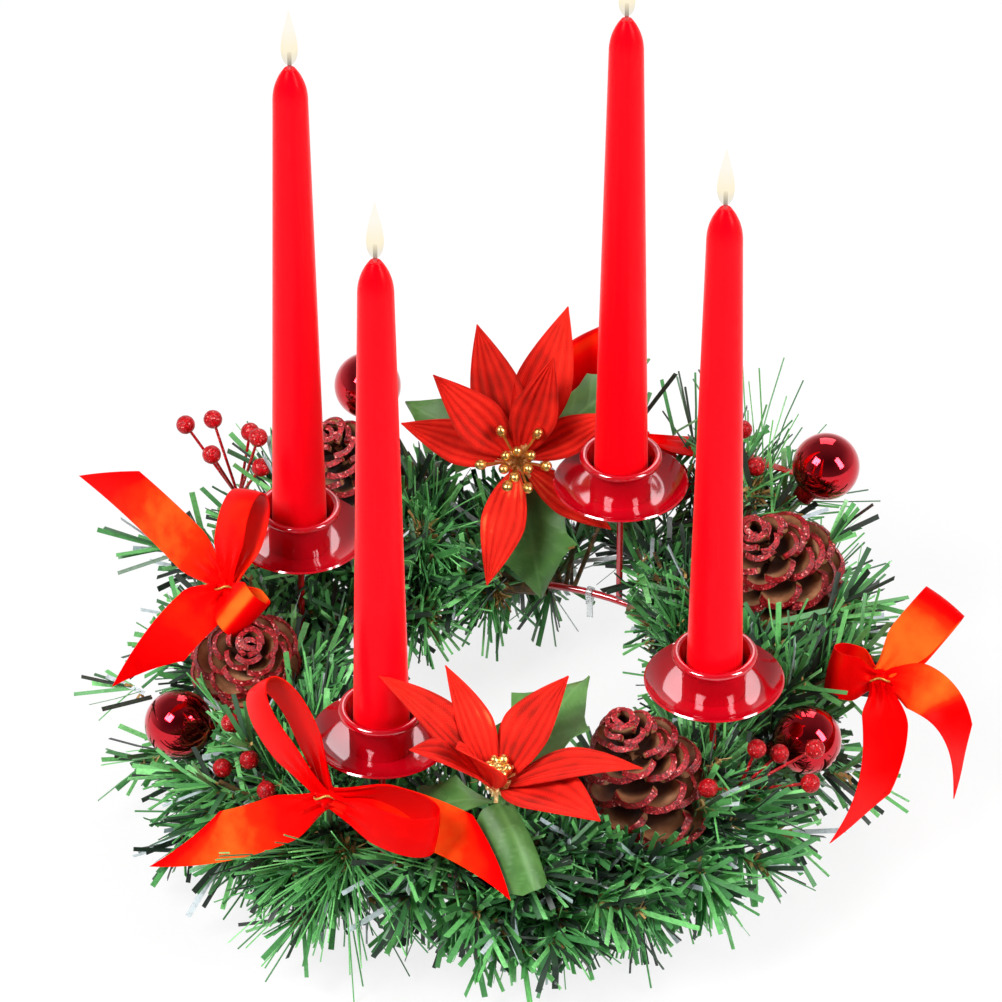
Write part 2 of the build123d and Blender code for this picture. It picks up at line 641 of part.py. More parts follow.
# Clear ties on the bare stretch of hoop beside each post
with BuildPart() as garland_ties:
    for post_angle in POST_ANGLES:
        tie_angle = post_angle + degrees(TIE_AFTER_POST / RING_RADIUS)
        tie_middle = around(tie_angle, 0, 0)
        along_hoop = Vector(-sin(radians(tie_angle)), cos(radians(tie_angle)), 0)
        band_radius = RING_WIRE / 2 + WELD_GAP + TIE_BAND
        with BuildSketch(Plane(origin=tie_middle, x_dir=(0, 0, 1), z_dir=along_hoop)):
            Circle(band_radius)
            with Locations((-band_radius - TIE_HEAD / 4, 0)):
                Rectangle(TIE_HEAD, TIE_HEAD)
            with Locations((-band_radius - TIE_HEAD / 4 - TIE_TAIL_LENGTH / 2, 0)):
                Rectangle(TIE_TAIL_LENGTH, TIE_TAIL_THICKNESS)
            Circle(RING_WIRE / 2 + WELD_GAP, mode=Mode.SUBTRACT)
        extrude(amount=TIE_WIDTH / 2, both=True)
        needle_stops.append((tie_middle, tie_middle - Vector(0, 0, band_radius + TIE_TAIL_LENGTH), TIE_WIDTH))
save(garland_ties, "garland_ties")


def is_free(point, stops):
    """Whether a point on a needle keeps clear of the table, the trays and the ornaments."""
    if point.Z < -FOOT_CUT:
        return False
    if point.Z > TRAY_LEVEL - NEEDLE_ROOM:
        for post_angle in POST_ANGLES:
            post_foot = around(post_angle, 0, 0)
            if hypot(point.X - post_foot.X, point.Y - post_foot.Y) < TRAY_RADIUS + NEEDLE_ROOM:
                return False
    for start, run, span, radius in stops:
        offset = point - start
        share = min(1.0, max(0.0, offset.dot(run) / span))
        if (offset - run * share).length < radius + NEEDLE_ROOM:
            return False
    return True


def needle_length(root, along, wanted):
    """Length that a needle reaches before it meets something, up to the wanted length."""
    middle = root + along * (wanted / 2)
    near_stops = []
    for start, end, radius in needle_stops:
        run = end - start
        if ((start + end) * 0.5 - middle).length < (wanted + run.length) / 2 + radius + NEEDLE_ROOM:
            near_stops.append((start, run, run.dot(run), radius))
    reached = 0.0
    while reached < wanted and is_free(root + along * (reached + NEEDLE_STEP), near_stops):
        reached += NEEDLE_STEP
    return reached


# Garland: in every quarter a length before and a length after the split half-way between two posts
quarter_turn = 360 / len(POST_NAMES)
for post_name, post_angle in zip(POST_NAMES, POST_ANGLES):
    split_angle = post_angle + quarter_turn / 2
    half_split = degrees(GARLAND_SPLIT / 2 / RING_RADIUS)
    spans = {
        "a": (post_angle + degrees(BARE_AFTER_POST / RING_RADIUS), split_angle - half_split),
        "b": (split_angle + half_split, post_angle + quarter_turn - degrees(BARE_BEFORE_POST / RING_RADIUS)),
    }
    for span_name, (first_angle, last_angle) in spans.items():
        needles = []
        for row in range(NEEDLE_ROWS):
            row_angle = first_angle + (last_angle - first_angle) * (row + 0.5) / NEEDLE_ROWS
            radial = Vector(cos(radians(row_angle)), sin(radians(row_angle)), 0)
            tangent = Vector(-radial.Y, radial.X, 0)
            for place in range(NEEDLES_AROUND):
                turn = radians(360 / NEEDLES_AROUND * (place + 0.5 * (row % 2)))
                spoke = radial * cos(turn) + Vector(0, 0, sin(turn))
                along = spoke * cos(radians(NEEDLE_LEAN)) + tangent * sin(radians(NEEDLE_LEAN))
                root = around(row_angle, 0, 0) + spoke * (CORE_WIDTH * 0.36)
                wanted = NEEDLE_LENGTH + NEEDLE_LENGTH_CHANGE * sin(NEEDLE_LENGTH_BEAT * (row * 5 + place * 3))
                length = needle_length(root, along, wanted)
                if length > NEEDLE_LEAST:
                    flat = along.cross(spoke).normalized()
                    corner = root - flat * (NEEDLE_WIDTH / 2) - along.cross(flat) * (NEEDLE_THICKNESS / 2)
                    needle_plane = Plane(origin=corner, x_dir=flat, z_dir=along)
                    needles.append(Solid.make_box(NEEDLE_WIDTH, NEEDLE_THICKNESS, length, needle_plane))
        with BuildPart() as garland:
            core_plane = Plane(
                origin=(0, 0, RING_HEIGHT),
                x_dir=(cos(radians(first_angle)), sin(radians(first_angle)), 0),
                z_dir=(sin(radians(first_angle)), -cos(radians(first_angle)), 0),
            )
            with BuildSketch(core_plane):
                with Locations((RING_RADIUS, 0)):
                    RegularPolygon(CORE_WIDTH / 2, CORE_SIDES, major_radius=False)
                    Circle(RING_WIRE / 2 + CORE_CLEARANCE, mode=Mode.SUBTRACT)
            revolve(axis=Axis.Z, revolution_arc=last_angle - first_angle)
            add(needles)
            split(bisect_by=Plane.XY, keep=Keep.TOP)
        save(garland, f"garland_{post_name}_{span_name}")
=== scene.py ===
"""Looks of an advent wreath: sprigs, flowers, cones, bows and candles on a red wire frame.

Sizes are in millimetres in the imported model's own frame, and become metres when a mesh is made.
"""

import logging
import math
from collections.abc import Callable, Iterator
from contextlib import contextmanager
from dataclasses import dataclass, field
from enum import Enum
from functools import cache

import bmesh
import bpy
import numpy as np
from mathutils import Matrix, Vector


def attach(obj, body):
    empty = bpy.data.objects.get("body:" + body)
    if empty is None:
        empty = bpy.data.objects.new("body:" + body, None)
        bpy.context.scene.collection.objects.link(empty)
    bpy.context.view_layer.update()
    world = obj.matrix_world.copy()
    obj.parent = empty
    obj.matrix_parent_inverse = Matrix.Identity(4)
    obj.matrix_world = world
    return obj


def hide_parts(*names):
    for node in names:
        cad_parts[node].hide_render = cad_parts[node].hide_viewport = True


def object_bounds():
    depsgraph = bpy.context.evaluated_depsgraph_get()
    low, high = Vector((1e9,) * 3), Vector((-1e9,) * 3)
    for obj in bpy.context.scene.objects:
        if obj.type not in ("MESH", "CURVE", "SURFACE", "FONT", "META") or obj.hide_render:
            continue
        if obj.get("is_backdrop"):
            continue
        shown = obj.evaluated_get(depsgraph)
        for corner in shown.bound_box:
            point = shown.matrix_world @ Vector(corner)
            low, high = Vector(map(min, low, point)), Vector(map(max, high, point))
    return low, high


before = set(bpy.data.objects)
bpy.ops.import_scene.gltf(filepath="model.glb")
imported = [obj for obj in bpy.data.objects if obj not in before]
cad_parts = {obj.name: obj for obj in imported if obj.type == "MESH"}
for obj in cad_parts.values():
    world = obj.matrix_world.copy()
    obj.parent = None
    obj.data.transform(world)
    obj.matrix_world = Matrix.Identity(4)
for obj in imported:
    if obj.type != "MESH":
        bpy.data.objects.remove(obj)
CAD_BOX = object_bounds()

log = logging.getLogger("wreath")
MM = 0.001
SEED = 7340
RING_RADIUS = 93.0
RING_HEIGHT = 37.0
POST_ANGLES = {"front_right": -30.0, "back_right": 60.0, "back_left": 150.0, "front_left": 240.0}
WREATH = "wreath"
FLOOR_GAP = 0.4
VIEW_RISE = 36.7
TO_VIEWER = np.array((0.0, -math.cos(math.radians(VIEW_RISE)), math.sin(math.radians(VIEW_RISE))))
# Direction halfway between the key lamp and the viewer: ribbon faces turned to it get a painted orange
# highlight, faces turned away a painted deeper red shade.
PAINTED_LIGHT_WAY = np.array((-0.30, -0.60, 0.74))
UP = np.array((0.0, 0.0, 1.0))
RIGHT = np.array((1.0, 0.0, 0.0))
STEEP = 0.9
WELD = 1e-6
LEAST_RUN = 1e-9
TURNED_EDGE, CLOTH_EDGE, SCALE_EDGE = 40.0, 50.0, 60.0
SAMPLE_SHARES = np.linspace(0.12, 1.0, 7)
RANGE_KEYS = ("From Min", "From Max", "To Min", "To Max")
MIX_FACTOR, MIX_LOW, MIX_HIGH, MIX_RESULT = 0, 6, 7, 2
Span = tuple[float, float]
Colour = tuple[float, float, float]
Reach = tuple[float, float, float]
Stops = tuple[tuple[float, Colour], ...]
Socket = bpy.types.NodeSocket
Material = bpy.types.Material
Piece = bpy.types.Object
Rng = np.random.Generator
Points = np.ndarray
Faces = np.ndarray
Blank = tuple[Points, Faces]


class Hold(Enum):
    """How a piece of cloth is held."""

    WIRED = "stretched"
    LOOPED = "folded"
    TRAILING = "hung"


def around(angle: float, out: float, up: float) -> Points:
    """Point beside the hoop.

    Args:
        angle: Ring angle in degrees.
        out: Millimetres outward from the hoop's centre line.
        up: Millimetres upward from it.

    Returns:
        The point in millimetres.
    """
    reach = RING_RADIUS + out
    turn = math.radians(angle)
    return np.array((reach * math.cos(turn), reach * math.sin(turn), RING_HEIGHT + up))


def unit(vector: Points) -> Points:
    """The vector, or each row of vectors, at length one."""
    vector = np.asarray(vector, float)
    return vector / np.linalg.norm(vector, axis=-1, keepdims=True)


def tilted(tilt: float) -> Points:
    """Unit vector of a face that leans from straight up towards the front by tilt degrees."""
    return np.array((0.0, -math.sin(math.radians(tilt)), math.cos(math.radians(tilt))))


def across_of(axes: Points) -> tuple[Points, Points]:
    """Two directions square to each axis and to each other.

    Args:
        axes: Unit vectors, one in each row.

    Returns:
        The first and the second direction of each row.
    """
    helper = np.where(np.abs(axes[:, 2:3]) < STEEP, UP, RIGHT)
    first = unit(np.cross(axes, helper))
    return first, np.cross(axes, first)


def ease(value: Points, low: float, high: float) -> Points:
    """Smooth step from 0 at low to 1 at high."""
    share = np.clip((np.asarray(value, float) - low) / (high - low), 0.0, 1.0)
    return share * share * (3 - 2 * share)


# meshes


def deselect() -> None:
    """Leave every object deselected and in object mode."""
    if bpy.context.object and bpy.context.object.mode != "OBJECT":
        bpy.ops.object.mode_set(mode="OBJECT")
    bpy.ops.object.select_all(action="DESELECT")


@contextmanager
def editing() -> Iterator[None]:
    """Edit the active mesh, with all of it selected.

    Yields:
        Nothing, while the mesh is in edit mode.
    """
    bpy.ops.object.mode_set(mode="EDIT")
    bpy.ops.mesh.select_all(action="SELECT")
    yield
    bpy.ops.object.mode_set(mode="OBJECT")


def spin_all(steps: int, angle: float) -> None:
    """Spin the whole active mesh round the Z axis."""
    with editing():
        bpy.ops.mesh.spin(steps=steps, angle=angle, center=(0, 0, 0), axis=(0, 0, 1))


def select_edges(test: Callable[[Vector, Vector], bool]) -> None:
    """Select edges of the mesh that is in edit mode.

    Args:
        test: Says of an edge's two ends whether the edge is selected.
    """
    bpy.ops.mesh.select_all(action="DESELECT")
    bpy.ops.mesh.select_mode(type="EDGE")
    mesh = bmesh.from_edit_mesh(bpy.context.object.data)
    for edge in mesh.edges:
        edge.select = test(edge.verts[0].co, edge.verts[1].co)
    bmesh.update_edit_mesh(bpy.context.object.data)


def take(piece: Piece) -> Blank:
    """Points and quads of a modelled blank, whose object is then removed.

    Args:
        piece: A mesh object of four-sided faces.

    Returns:
        Its points and its faces.
    """
    mesh = piece.data
    points = np.array([v.co for v in mesh.vertices], float)
    faces = np.array([tuple(p.vertices) for p in mesh.polygons if len(p.vertices) == 4], int)
    bpy.data.objects.remove(piece)
    bpy.data.meshes.remove(mesh)
    return points, faces


def strip_blank(cuts: int) -> Blank:
    """A square bar of unit size along Z, cut across so that it can bend.

    Args:
        cuts: Number of cuts along its length.

    Returns:
        Its points and faces.
    """
    deselect()
    bpy.ops.mesh.primitive_cube_add(size=1.0, location=(0.0, 0.0, 0.5))
    bpy.ops.object.transform_apply(location=True)
    with editing():
        select_edges(lambda a, b: abs(a.z - b.z) > 0.5)
        bpy.ops.mesh.subdivide(number_cuts=cuts)
    return take(bpy.context.object)


def ball_blank(segments: int, rings: int) -> Blank:
    """A ball of unit diameter made from a cube of quads that is rounded.

    Args:
        segments: Number of cuts of each edge.
        rings: Passes of smoothing that even out its quads.

    Returns:
        Its points and faces.
    """
    deselect()
    bpy.ops.mesh.primitive_cube_add(size=1.0)
    with editing():
        bpy.ops.mesh.subdivide(number_cuts=segments)
        for _ in range(rings):
            bpy.ops.transform.tosphere(value=1.0)
            bpy.ops.mesh.vertices_smooth(factor=0.5)
        bpy.ops.transform.tosphere(value=1.0)
    points, faces = take(bpy.context.object)
    return unit(points) * 0.5, faces


def copies(blank: Blank, roots: Points, frames: Points, sizes: Points, bends: Points) -> Blank:
    """Many placed copies of a blank in one mesh.

    Args:
        blank: Points and faces of the blank, whose Z runs from 0 to 1.
        roots: Place of each copy's foot.
        frames: Directions of each copy's X, Y and Z, as (copies, 3, 3).
        sizes: Width, thickness and length of each copy.
        bends: How far each copy's end bends along its Y, as a share of its length.

    Returns:
        Points and faces of all copies.
    """
    points, faces = blank
    local = points[None, :, :] * sizes[:, None, :]
    local[:, :, 1] += bends[:, None] * sizes[:, 2:3] * points[None, :, 2] ** 2
    placed = roots[:, None, :] + np.einsum("nvi,nij->nvj", local, frames)
    shifts = np.arange(len(roots))[:, None, None] * len(points)
    return placed.reshape(-1, 3), (faces[None, :, :] + shifts).reshape(-1, faces.shape[1])


def joined(*parts: Blank) -> tuple[Points, Faces, Points]:
    """Several point and face sets as one, with the number of the part of each face.

    Args:
        *parts: Points and faces of each part.

    Returns:
        All points, all faces and each face's part number.
    """
    shift, faces, marks = 0, [], []
    for number, (points, part_faces) in enumerate(parts):
        faces.append(part_faces + shift)
        marks.append(np.full(len(part_faces), number))
        shift += len(points)
    return np.concatenate([p for p, _ in parts]), np.concatenate(faces), np.concatenate(marks)


def add_object(name: str, data: bpy.types.ID) -> Piece:
    """A new object in the scene.

    Args:
        name: Its name.
        data: Its mesh, camera or light.

    Returns:
        The object, at the origin.
    """
    made = bpy.data.objects.new(name, data)
    bpy.context.scene.collection.objects.link(made)
    return made


def add_value(piece: Piece, name: str, numbers: Points) -> None:
    """Give each point of a piece a value that its material reads."""
    layer = piece.data.attributes.new(name, "FLOAT", "POINT")
    layer.data.foreach_set("value", numbers.astype(np.float32))


def make_piece(
    name: str,
    points: Points,
    faces: Faces,
    materials: list[Material],
    marks: Points | None = None,
    smooth: bool = False,
    values: dict[str, Points] | None = None,
) -> Piece:
    """A mesh object from points in millimetres.

    Args:
        name: Name of the piece.
        points: Its points.
        faces: Its quads, as rows of point numbers.
        materials: Its materials.
        marks: Material number of each face.
        smooth: Whether its faces are shaded smooth.
        values: Named values, one for each point, that its materials read.

    Returns:
        The object, at the origin.
    """
    mesh = bpy.data.meshes.new(name)
    size = faces.shape[1]
    mesh.vertices.add(len(points))
    mesh.vertices.foreach_set("co", (points * MM).astype(np.float32).ravel())
    mesh.loops.add(faces.size)
    mesh.loops.foreach_set("vertex_index", faces.astype(np.int32).ravel())
    mesh.polygons.add(len(faces))
    mesh.polygons.foreach_set("loop_start", np.arange(0, faces.size, size, dtype=np.int32))
    if marks is not None:
        mesh.polygons.foreach_set("material_index", marks.astype(np.int32))
    mesh.polygons.foreach_set("use_smooth", np.full(len(faces), smooth))
    mesh.update(calc_edges=True)
    mesh.validate()
    for material in materials:
        mesh.materials.append(material)
    piece = add_object(name, mesh)
    for key, numbers in (values or {}).items():
        add_value(piece, key, numbers)
    return piece


def active(piece: Piece) -> None:
    """Make a piece the only selected one and the active one.

    Args:
        piece: The piece.
    """
    deselect()
    piece.select_set(True)
    bpy.context.view_layer.objects.active = piece


def tidy_normals(piece: Piece) -> None:
    """Merge doubled points and turn the faces outwards.

    Args:
        piece: The piece.
    """
    active(piece)
    with editing():
        bpy.ops.mesh.remove_doubles(threshold=WELD)
        bpy.ops.mesh.normals_make_consistent(inside=False)


def soften(piece: Piece, angle: float) -> None:
    """Shade a piece smooth, apart from edges over an angle in degrees."""
    active(piece)
    bpy.ops.object.shade_smooth_by_angle(angle=math.radians(angle))


def apply_modifier(piece: Piece, kind: str, **settings: object) -> None:
    """Add a modifier to a piece and apply it.

    Args:
        piece: The piece.
        kind: Type of the modifier.
        **settings: Its properties.
    """
    active(piece)
    modifier = piece.modifiers.new(kind.lower(), kind)
    for key, value in settings.items():
        setattr(modifier, key, value)
    bpy.ops.object.modifier_apply(modifier=modifier.name)


def lathe(name: str, profile: list[Span], steps: int) -> Piece:
    """A turned piece: an outline spun round the Z axis.

    Args:
        name: Name of the piece.
        profile: Radius and height of each point of the outline, in millimetres.
        steps: Number of steps of the spin.

    Returns:
        The object, at the origin.
    """
    mesh = bpy.data.meshes.new(name)
    line = [(radius * MM, 0.0, height * MM) for radius, height in profile]
    mesh.from_pydata(line, [(i, i + 1) for i in range(len(line) - 1)], [])
    piece = add_object(name, mesh)
    active(piece)
    spin_all(steps, 2 * math.pi)
    tidy_normals(piece)
    soften(piece, TURNED_EDGE)
    return piece


def cloth_grid(name: str, along: int, across: int) -> tuple[Piece, Points, Points]:
    """A flat grid that is the start of a ribbon, petal or leaf.

    Args:
        name: Name of the piece.
        along: Number of faces along its length.
        across: Number of faces across its width.

    Returns:
        The object, and each point's share of the length, 0 to 1, and of the half width, -1 to 1.
    """
    deselect()
    bpy.ops.mesh.primitive_grid_add(x_subdivisions=along, y_subdivisions=across, size=2.0)
    piece = bpy.context.object
    piece.name = piece.data.name = name
    flat = np.array([v.co for v in piece.data.vertices], float)
    return piece, (flat[:, 0] + 1) / 2, flat[:, 1]


def lay_cloth(piece: Piece, points: Points, thickness: float, finish: Material) -> None:
    """Move a grid's points to their places and give the cloth its thickness.

    Args:
        piece: The grid.
        points: Its points' places in millimetres.
        thickness: Thickness of the cloth in millimetres.
        finish: Its material.
    """
    piece.data.vertices.foreach_set("co", (points * MM).astype(np.float32).ravel())
    piece.data.update()
    piece.data.materials.append(finish)
    apply_modifier(piece, "SOLIDIFY", thickness=thickness * MM, offset=0.0)
    soften(piece, CLOTH_EDGE)


def settle(piece: Piece, slot: str, *nodes: str, body: str = WREATH) -> None:
    """Let a finished piece ride on its body and stand for its solids.

    Args:
        piece: The piece.
        slot: Material slot of the record; not used.
        *nodes: Solids that it stands for.
        body: Body that it rides on.
    """
    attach(piece, body)
    if nodes:
        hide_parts(*nodes)
    log.info("%s: %d faces on %s", piece.name, len(piece.data.polygons), body)


# room that the needles keep clear of


@dataclass(frozen=True)
class Capsule:
    """Round-ended space between two points."""

    start: Points
    end: Points
    radius: float


@dataclass(frozen=True)
class Column:
    """Upright round space."""

    foot: Points
    low: float
    high: float
    radius: float


@dataclass
class Room:
    """Spaces that needles stay out of."""

    capsules: list[Capsule] = field(default_factory=list)
    columns: list[Column] = field(default_factory=list)
    proud: float = 8.0

    def shield(self, middle: Points, radius: float, length: float) -> None:
        """Keep the view of a place clear, for a length towards the viewer."""
        self.capsules.append(Capsule(middle, middle + TO_VIEWER * length, radius))

    def clear(self, points: Points) -> Points:
        """Which rows of sample points are clear of every space.

        Args:
            points: Sample points, as (rows, samples, 3).

        Returns:
            True for each row that is clear.
        """
        low, high = (np.array(corner) / MM for corner in CAD_BOX)
        free = ((points > low - self.proud) & (points < high + self.proud)).all(axis=(1, 2))
        for space in self.capsules:
            run = space.end - space.start
            offset = points - space.start
            share = np.clip(offset @ run / max(run @ run, LEAST_RUN), 0.0, 1.0)
            gap = np.linalg.norm(offset - share[..., None] * run, axis=-1)
            free &= (gap > space.radius).all(axis=1)
        for space in self.columns:
            gap = np.hypot(points[..., 0] - space.foot[0], points[..., 1] - space.foot[1])
            level = points[..., 2]
            inside = (gap < space.radius) & (level > space.low) & (level < space.high)
            free &= ~inside.any(axis=1)
        return free


# finishes


class Shade:
    """A material's nodes, with short calls for adding and joining them."""

    def __init__(self, name: str) -> None:
        """Start a material with its Principled shader.

        Args:
            name: Name of the material.
        """
        self.material = bpy.data.materials.new(name)
        self.material.use_nodes = True
        self.tree = self.material.node_tree
        self.surface = self.tree.nodes["Principled BSDF"]

    def node(self, kind: str, **settings: object) -> bpy.types.Node:
        """Add a node.

        Args:
            kind: Its type, without the leading ShaderNode.
            **settings: Its properties.

        Returns:
            The node.
        """
        made = self.tree.nodes.new("ShaderNode" + kind)
        for key, value in settings.items():
            setattr(made, key, value)
        return made

    def join(self, source: Socket, target: Socket) -> None:
        """Link an output to an input."""
        self.tree.links.new(source, target)

    def fix(self, **values: object) -> None:
        """Set constants on the shader's own sockets, named with _ for a space."""
        for key, value in values.items():
            socket = key.replace("_", " ").title().replace("Ior", "IOR")
            self.surface.inputs[socket].default_value = value

    def feed(self, given: Socket | float | Colour, target: Socket) -> None:
        """Give an input a socket, a number or a colour.

        Args:
            given: What it is given.
            target: The input.
        """
        if isinstance(given, bpy.types.NodeSocket):
            self.join(given, target)
        else:
            target.default_value = (*given, 1.0) if isinstance(given, tuple) else given

    def place(self, scale: Reach = (1, 1, 1), source: str = "Object") -> Socket:
        """Coordinates for a pattern.

        Args:
            scale: Scale of each axis.
            source: Output of the Texture Coordinate node.

        Returns:
            The scaled coordinates.
        """
        mapping = self.node("Mapping")
        mapping.inputs["Scale"].default_value = scale
        self.join(self.node("TexCoord").outputs[source], mapping.inputs["Vector"])
        return mapping.outputs["Vector"]

    def value(self, name: str) -> Socket:
        """A named value of the piece's points."""
        return self.node("Attribute", attribute_name=name).outputs["Fac"]

    def noise(self, where: Socket, scale: float, detail: float = 4.0) -> Socket:
        """A noise pattern.

        Args:
            where: Its coordinates.
            scale: Its scale.
            detail: Its detail.

        Returns:
            Its value.
        """
        made = self.node("TexNoise")
        made.inputs["Scale"].default_value = scale
        made.inputs["Detail"].default_value = detail
        self.join(where, made.inputs["Vector"])
        return made.outputs["Fac"]

    def span(self, source: Socket, given: Span, wanted: Span) -> Socket:
        """A value moved from one range to another.

        Args:
            source: The value.
            given: Its range.
            wanted: The range it is moved to, and kept in.

        Returns:
            The moved value.
        """
        made = self.node("MapRange")
        for key, number in zip(RANGE_KEYS, (*given, *wanted)):
            made.inputs[key].default_value = number
        self.join(source, made.inputs["Value"])
        return made.outputs["Result"]

    def ramp(self, factor: Socket, stops: Stops) -> Socket:
        """Colours along a factor.

        Args:
            factor: Where on the ramp.
            stops: Place and colour of each stop.

        Returns:
            The colour.
        """
        made = self.node("ValToRGB")
        elements = made.color_ramp.elements
        while len(elements) < len(stops):
            elements.new(0.5)
        for element, (place, colour) in zip(elements, stops):
            element.position = place
            element.color = (*colour, 1.0)
        self.join(factor, made.inputs["Fac"])
        return made.outputs["Color"]

    def math(self, kind: str, first: Socket | float, second: Socket | float) -> Socket:
        """Result of an operation on two values.

        Args:
            kind: The operation.
            first: A socket or a number.
            second: A socket or a number.

        Returns:
            The result.
        """
        made = self.node("Math", operation=kind)
        for socket, given in zip(made.inputs, (first, second)):
            self.feed(given, socket)
        return made.outputs["Value"]

    def swing(self, source: Socket, strength: float) -> Socket:
        """A noise's swing about zero."""
        return self.math("MULTIPLY", self.math("SUBTRACT", source, 0.5), strength)

    def blend(self, factor: Socket, low: Socket | Colour, high: Socket | Colour) -> Socket:
        """A mix of two colours.

        Args:
            factor: Share of the second colour.
            low: First colour or socket.
            high: Second colour or socket.

        Returns:
            The colour.
        """
        made = self.node("Mix", data_type="RGBA")
        for place, given in ((MIX_FACTOR, factor), (MIX_LOW, low), (MIX_HIGH, high)):
            self.feed(given, made.inputs[place])
        return made.outputs[MIX_RESULT]

    def group(self, tree: bpy.types.NodeTree, where: Socket, **values: float) -> bpy.types.Node:
        """Place a shared effect.

        Args:
            tree: The effect.
            where: Its coordinates.
            **values: Its own values.

        Returns:
            The group's node.
        """
        made = self.node("Group")
        made.node_tree = tree
        self.join(where, made.inputs["Vector"])
        for key, given in values.items():
            made.inputs[key.title()].default_value = given
        return made

    def colour(self, source: Socket) -> None:
        """Feed the base colour."""
        self.join(source, self.surface.inputs["Base Color"])

    def rough(self, source: Socket, gloss: Span) -> None:
        """Feed the roughness from a factor between two values."""
        self.join(self.span(source, (0.0, 1.0), gloss), self.surface.inputs["Roughness"])

    def bump(self, height: Socket, strength: float, distance: float) -> None:
        """Feed the normal.

        Args:
            height: Height of the grain.
            strength: How strongly it shows.
            distance: Metres for a height of one.
        """
        made = self.node("Bump")
        made.inputs["Strength"].default_value = strength
        made.inputs["Distance"].default_value = distance
        self.join(height, made.inputs["Height"])
        self.join(made.outputs["Normal"], self.surface.inputs["Normal"])


def new_group(name: str, inputs: dict[str, float], outputs: tuple[str, ...]) -> bpy.types.NodeTree:
    """An empty shader node group with a Vector input.

    Args:
        name: Name of the group.
        inputs: Further inputs with their default values.
        outputs: Names of its outputs.

    Returns:
        The group, with its input and output nodes.
    """
    tree = bpy.data.node_groups.new(name, "ShaderNodeTree")
    tree.interface.new_socket("Vector", in_out="INPUT", socket_type="NodeSocketVector")
    number = "NodeSocketFloat"
    for key, value in inputs.items():
        tree.interface.new_socket(key, in_out="INPUT", socket_type=number).default_value = value
    for key in outputs:
        tree.interface.new_socket(key, in_out="OUTPUT", socket_type=number)
    tree.nodes.new("NodeGroupInput").name = "start"
    tree.nodes.new("NodeGroupOutput").name = "end"
    return tree


@cache
def glitter_group() -> bpy.types.NodeTree:
    """Grains of glitter: a sparkle from grain to grain and the height of the grains.

    Returns:
        The group, made once.
    """
    tree = new_group("glitter_grains", {"Scale": 1500.0}, ("Sparkle", "Height"))
    start, end = tree.nodes["start"], tree.nodes["end"]
    grains = tree.nodes.new("ShaderNodeTexVoronoi")
    split = tree.nodes.new("ShaderNodeSeparateColor")
    tree.links.new(start.outputs["Vector"], grains.inputs["Vector"])
    tree.links.new(start.outputs["Scale"], grains.inputs["Scale"])
    tree.links.new(grains.outputs["Color"], split.inputs["Color"])
    tree.links.new(split.outputs["Red"], end.inputs["Sparkle"])
    tree.links.new(grains.outputs["Distance"], end.inputs["Height"])
    return tree


@cache
def weave_group() -> bpy.types.NodeTree:
    """Threads of a cloth: warp and weft waves, as a height and as a shade.

    Returns:
        The group, made once.
    """
    tree = new_group("cloth_weave", {"Warp": 300.0, "Weft": 300.0}, ("Height", "Shade"))
    start, end = tree.nodes["start"], tree.nodes["end"]
    parts = tree.nodes.new("ShaderNodeSeparateXYZ")
    tree.links.new(start.outputs["Vector"], parts.inputs["Vector"])

    def result(kind: str, *sources: Socket | float) -> Socket:
        """Result of one operation.

        Args:
            kind: The operation.
            *sources: Sockets and numbers that it works on.

        Returns:
            Its value.
        """
        made = tree.nodes.new("ShaderNodeMath")
        made.operation = kind
        for socket, source in zip(made.inputs, sources):
            if isinstance(source, float):
                socket.default_value = source
            else:
                tree.links.new(source, socket)
        return made.outputs["Value"]

    warp = result("SINE", result("MULTIPLY", parts.outputs["X"], start.outputs["Warp"]))
    weft = result("SINE", result("MULTIPLY", parts.outputs["Y"], start.outputs["Weft"]))
    cross = result("MULTIPLY", warp, weft)
    tree.links.new(cross, end.inputs["Height"])
    tree.links.new(result("MULTIPLY_ADD", cross, 0.5, 0.5), end.inputs["Shade"])
    return tree


@dataclass(frozen=True)
class Toned:
    """A finish whose tone, gloss and grain follow noise in the piece's own space."""

    name: str
    tones: Stops
    tone_scale: float
    gloss: Span
    grain_scale: float
    grain: float = 0.0
    grain_height: float = 0.0004
    stretch: Reach = (1.0, 1.0, 1.0)
    fixed: tuple[tuple[str, object], ...] = ()
    grain_detail: float = 2.0

    def make(self) -> Material:
        """Build the material.

        Returns:
            The material.
        """
        shade = Shade(self.name)
        where = shade.place(self.stretch)
        grain = shade.noise(where, self.grain_scale, self.grain_detail)
        shade.colour(shade.ramp(shade.noise(where, self.tone_scale), self.tones))
        shade.rough(grain, self.gloss)
        if self.grain:
            shade.bump(grain, self.grain, self.grain_height)
        shade.fix(**dict(self.fixed))
        return shade.material


METAL = ("metallic", 1.0)
LACQUER = Toned(
    "red_lacquer",
    ((0.3, (0.46, 0.000, 0.006)), (0.7, (0.56, 0.001, 0.010))),
    60.0, (0.06, 0.12), 900.0, 0.02,
    fixed=(("ior", 1.72), ("specular_ior_level", 0.90), ("specular_tint", (1.0, 0.80, 0.84, 1.0))),
)
WAX = Toned(
    "red_wax",
    ((0.25, (0.97, 0.000, 0.005)), (0.75, (1.00, 0.000, 0.008))),
    70.0, (0.22, 0.30), 300.0, 0.03,
    stretch=(1.0, 1.0, 0.06),
    fixed=(
        ("subsurface_weight", 0.10),
        ("subsurface_scale", 0.004),
        ("subsurface_radius", (1.0, 0.10, 0.08)),
        ("ior", 1.44),
        ("specular_ior_level", 0.06),
        ("sheen_weight", 0.35),
        ("sheen_roughness", 0.35),
        ("sheen_tint", (1.0, 0.45, 0.40, 1.0)),
    ),
)
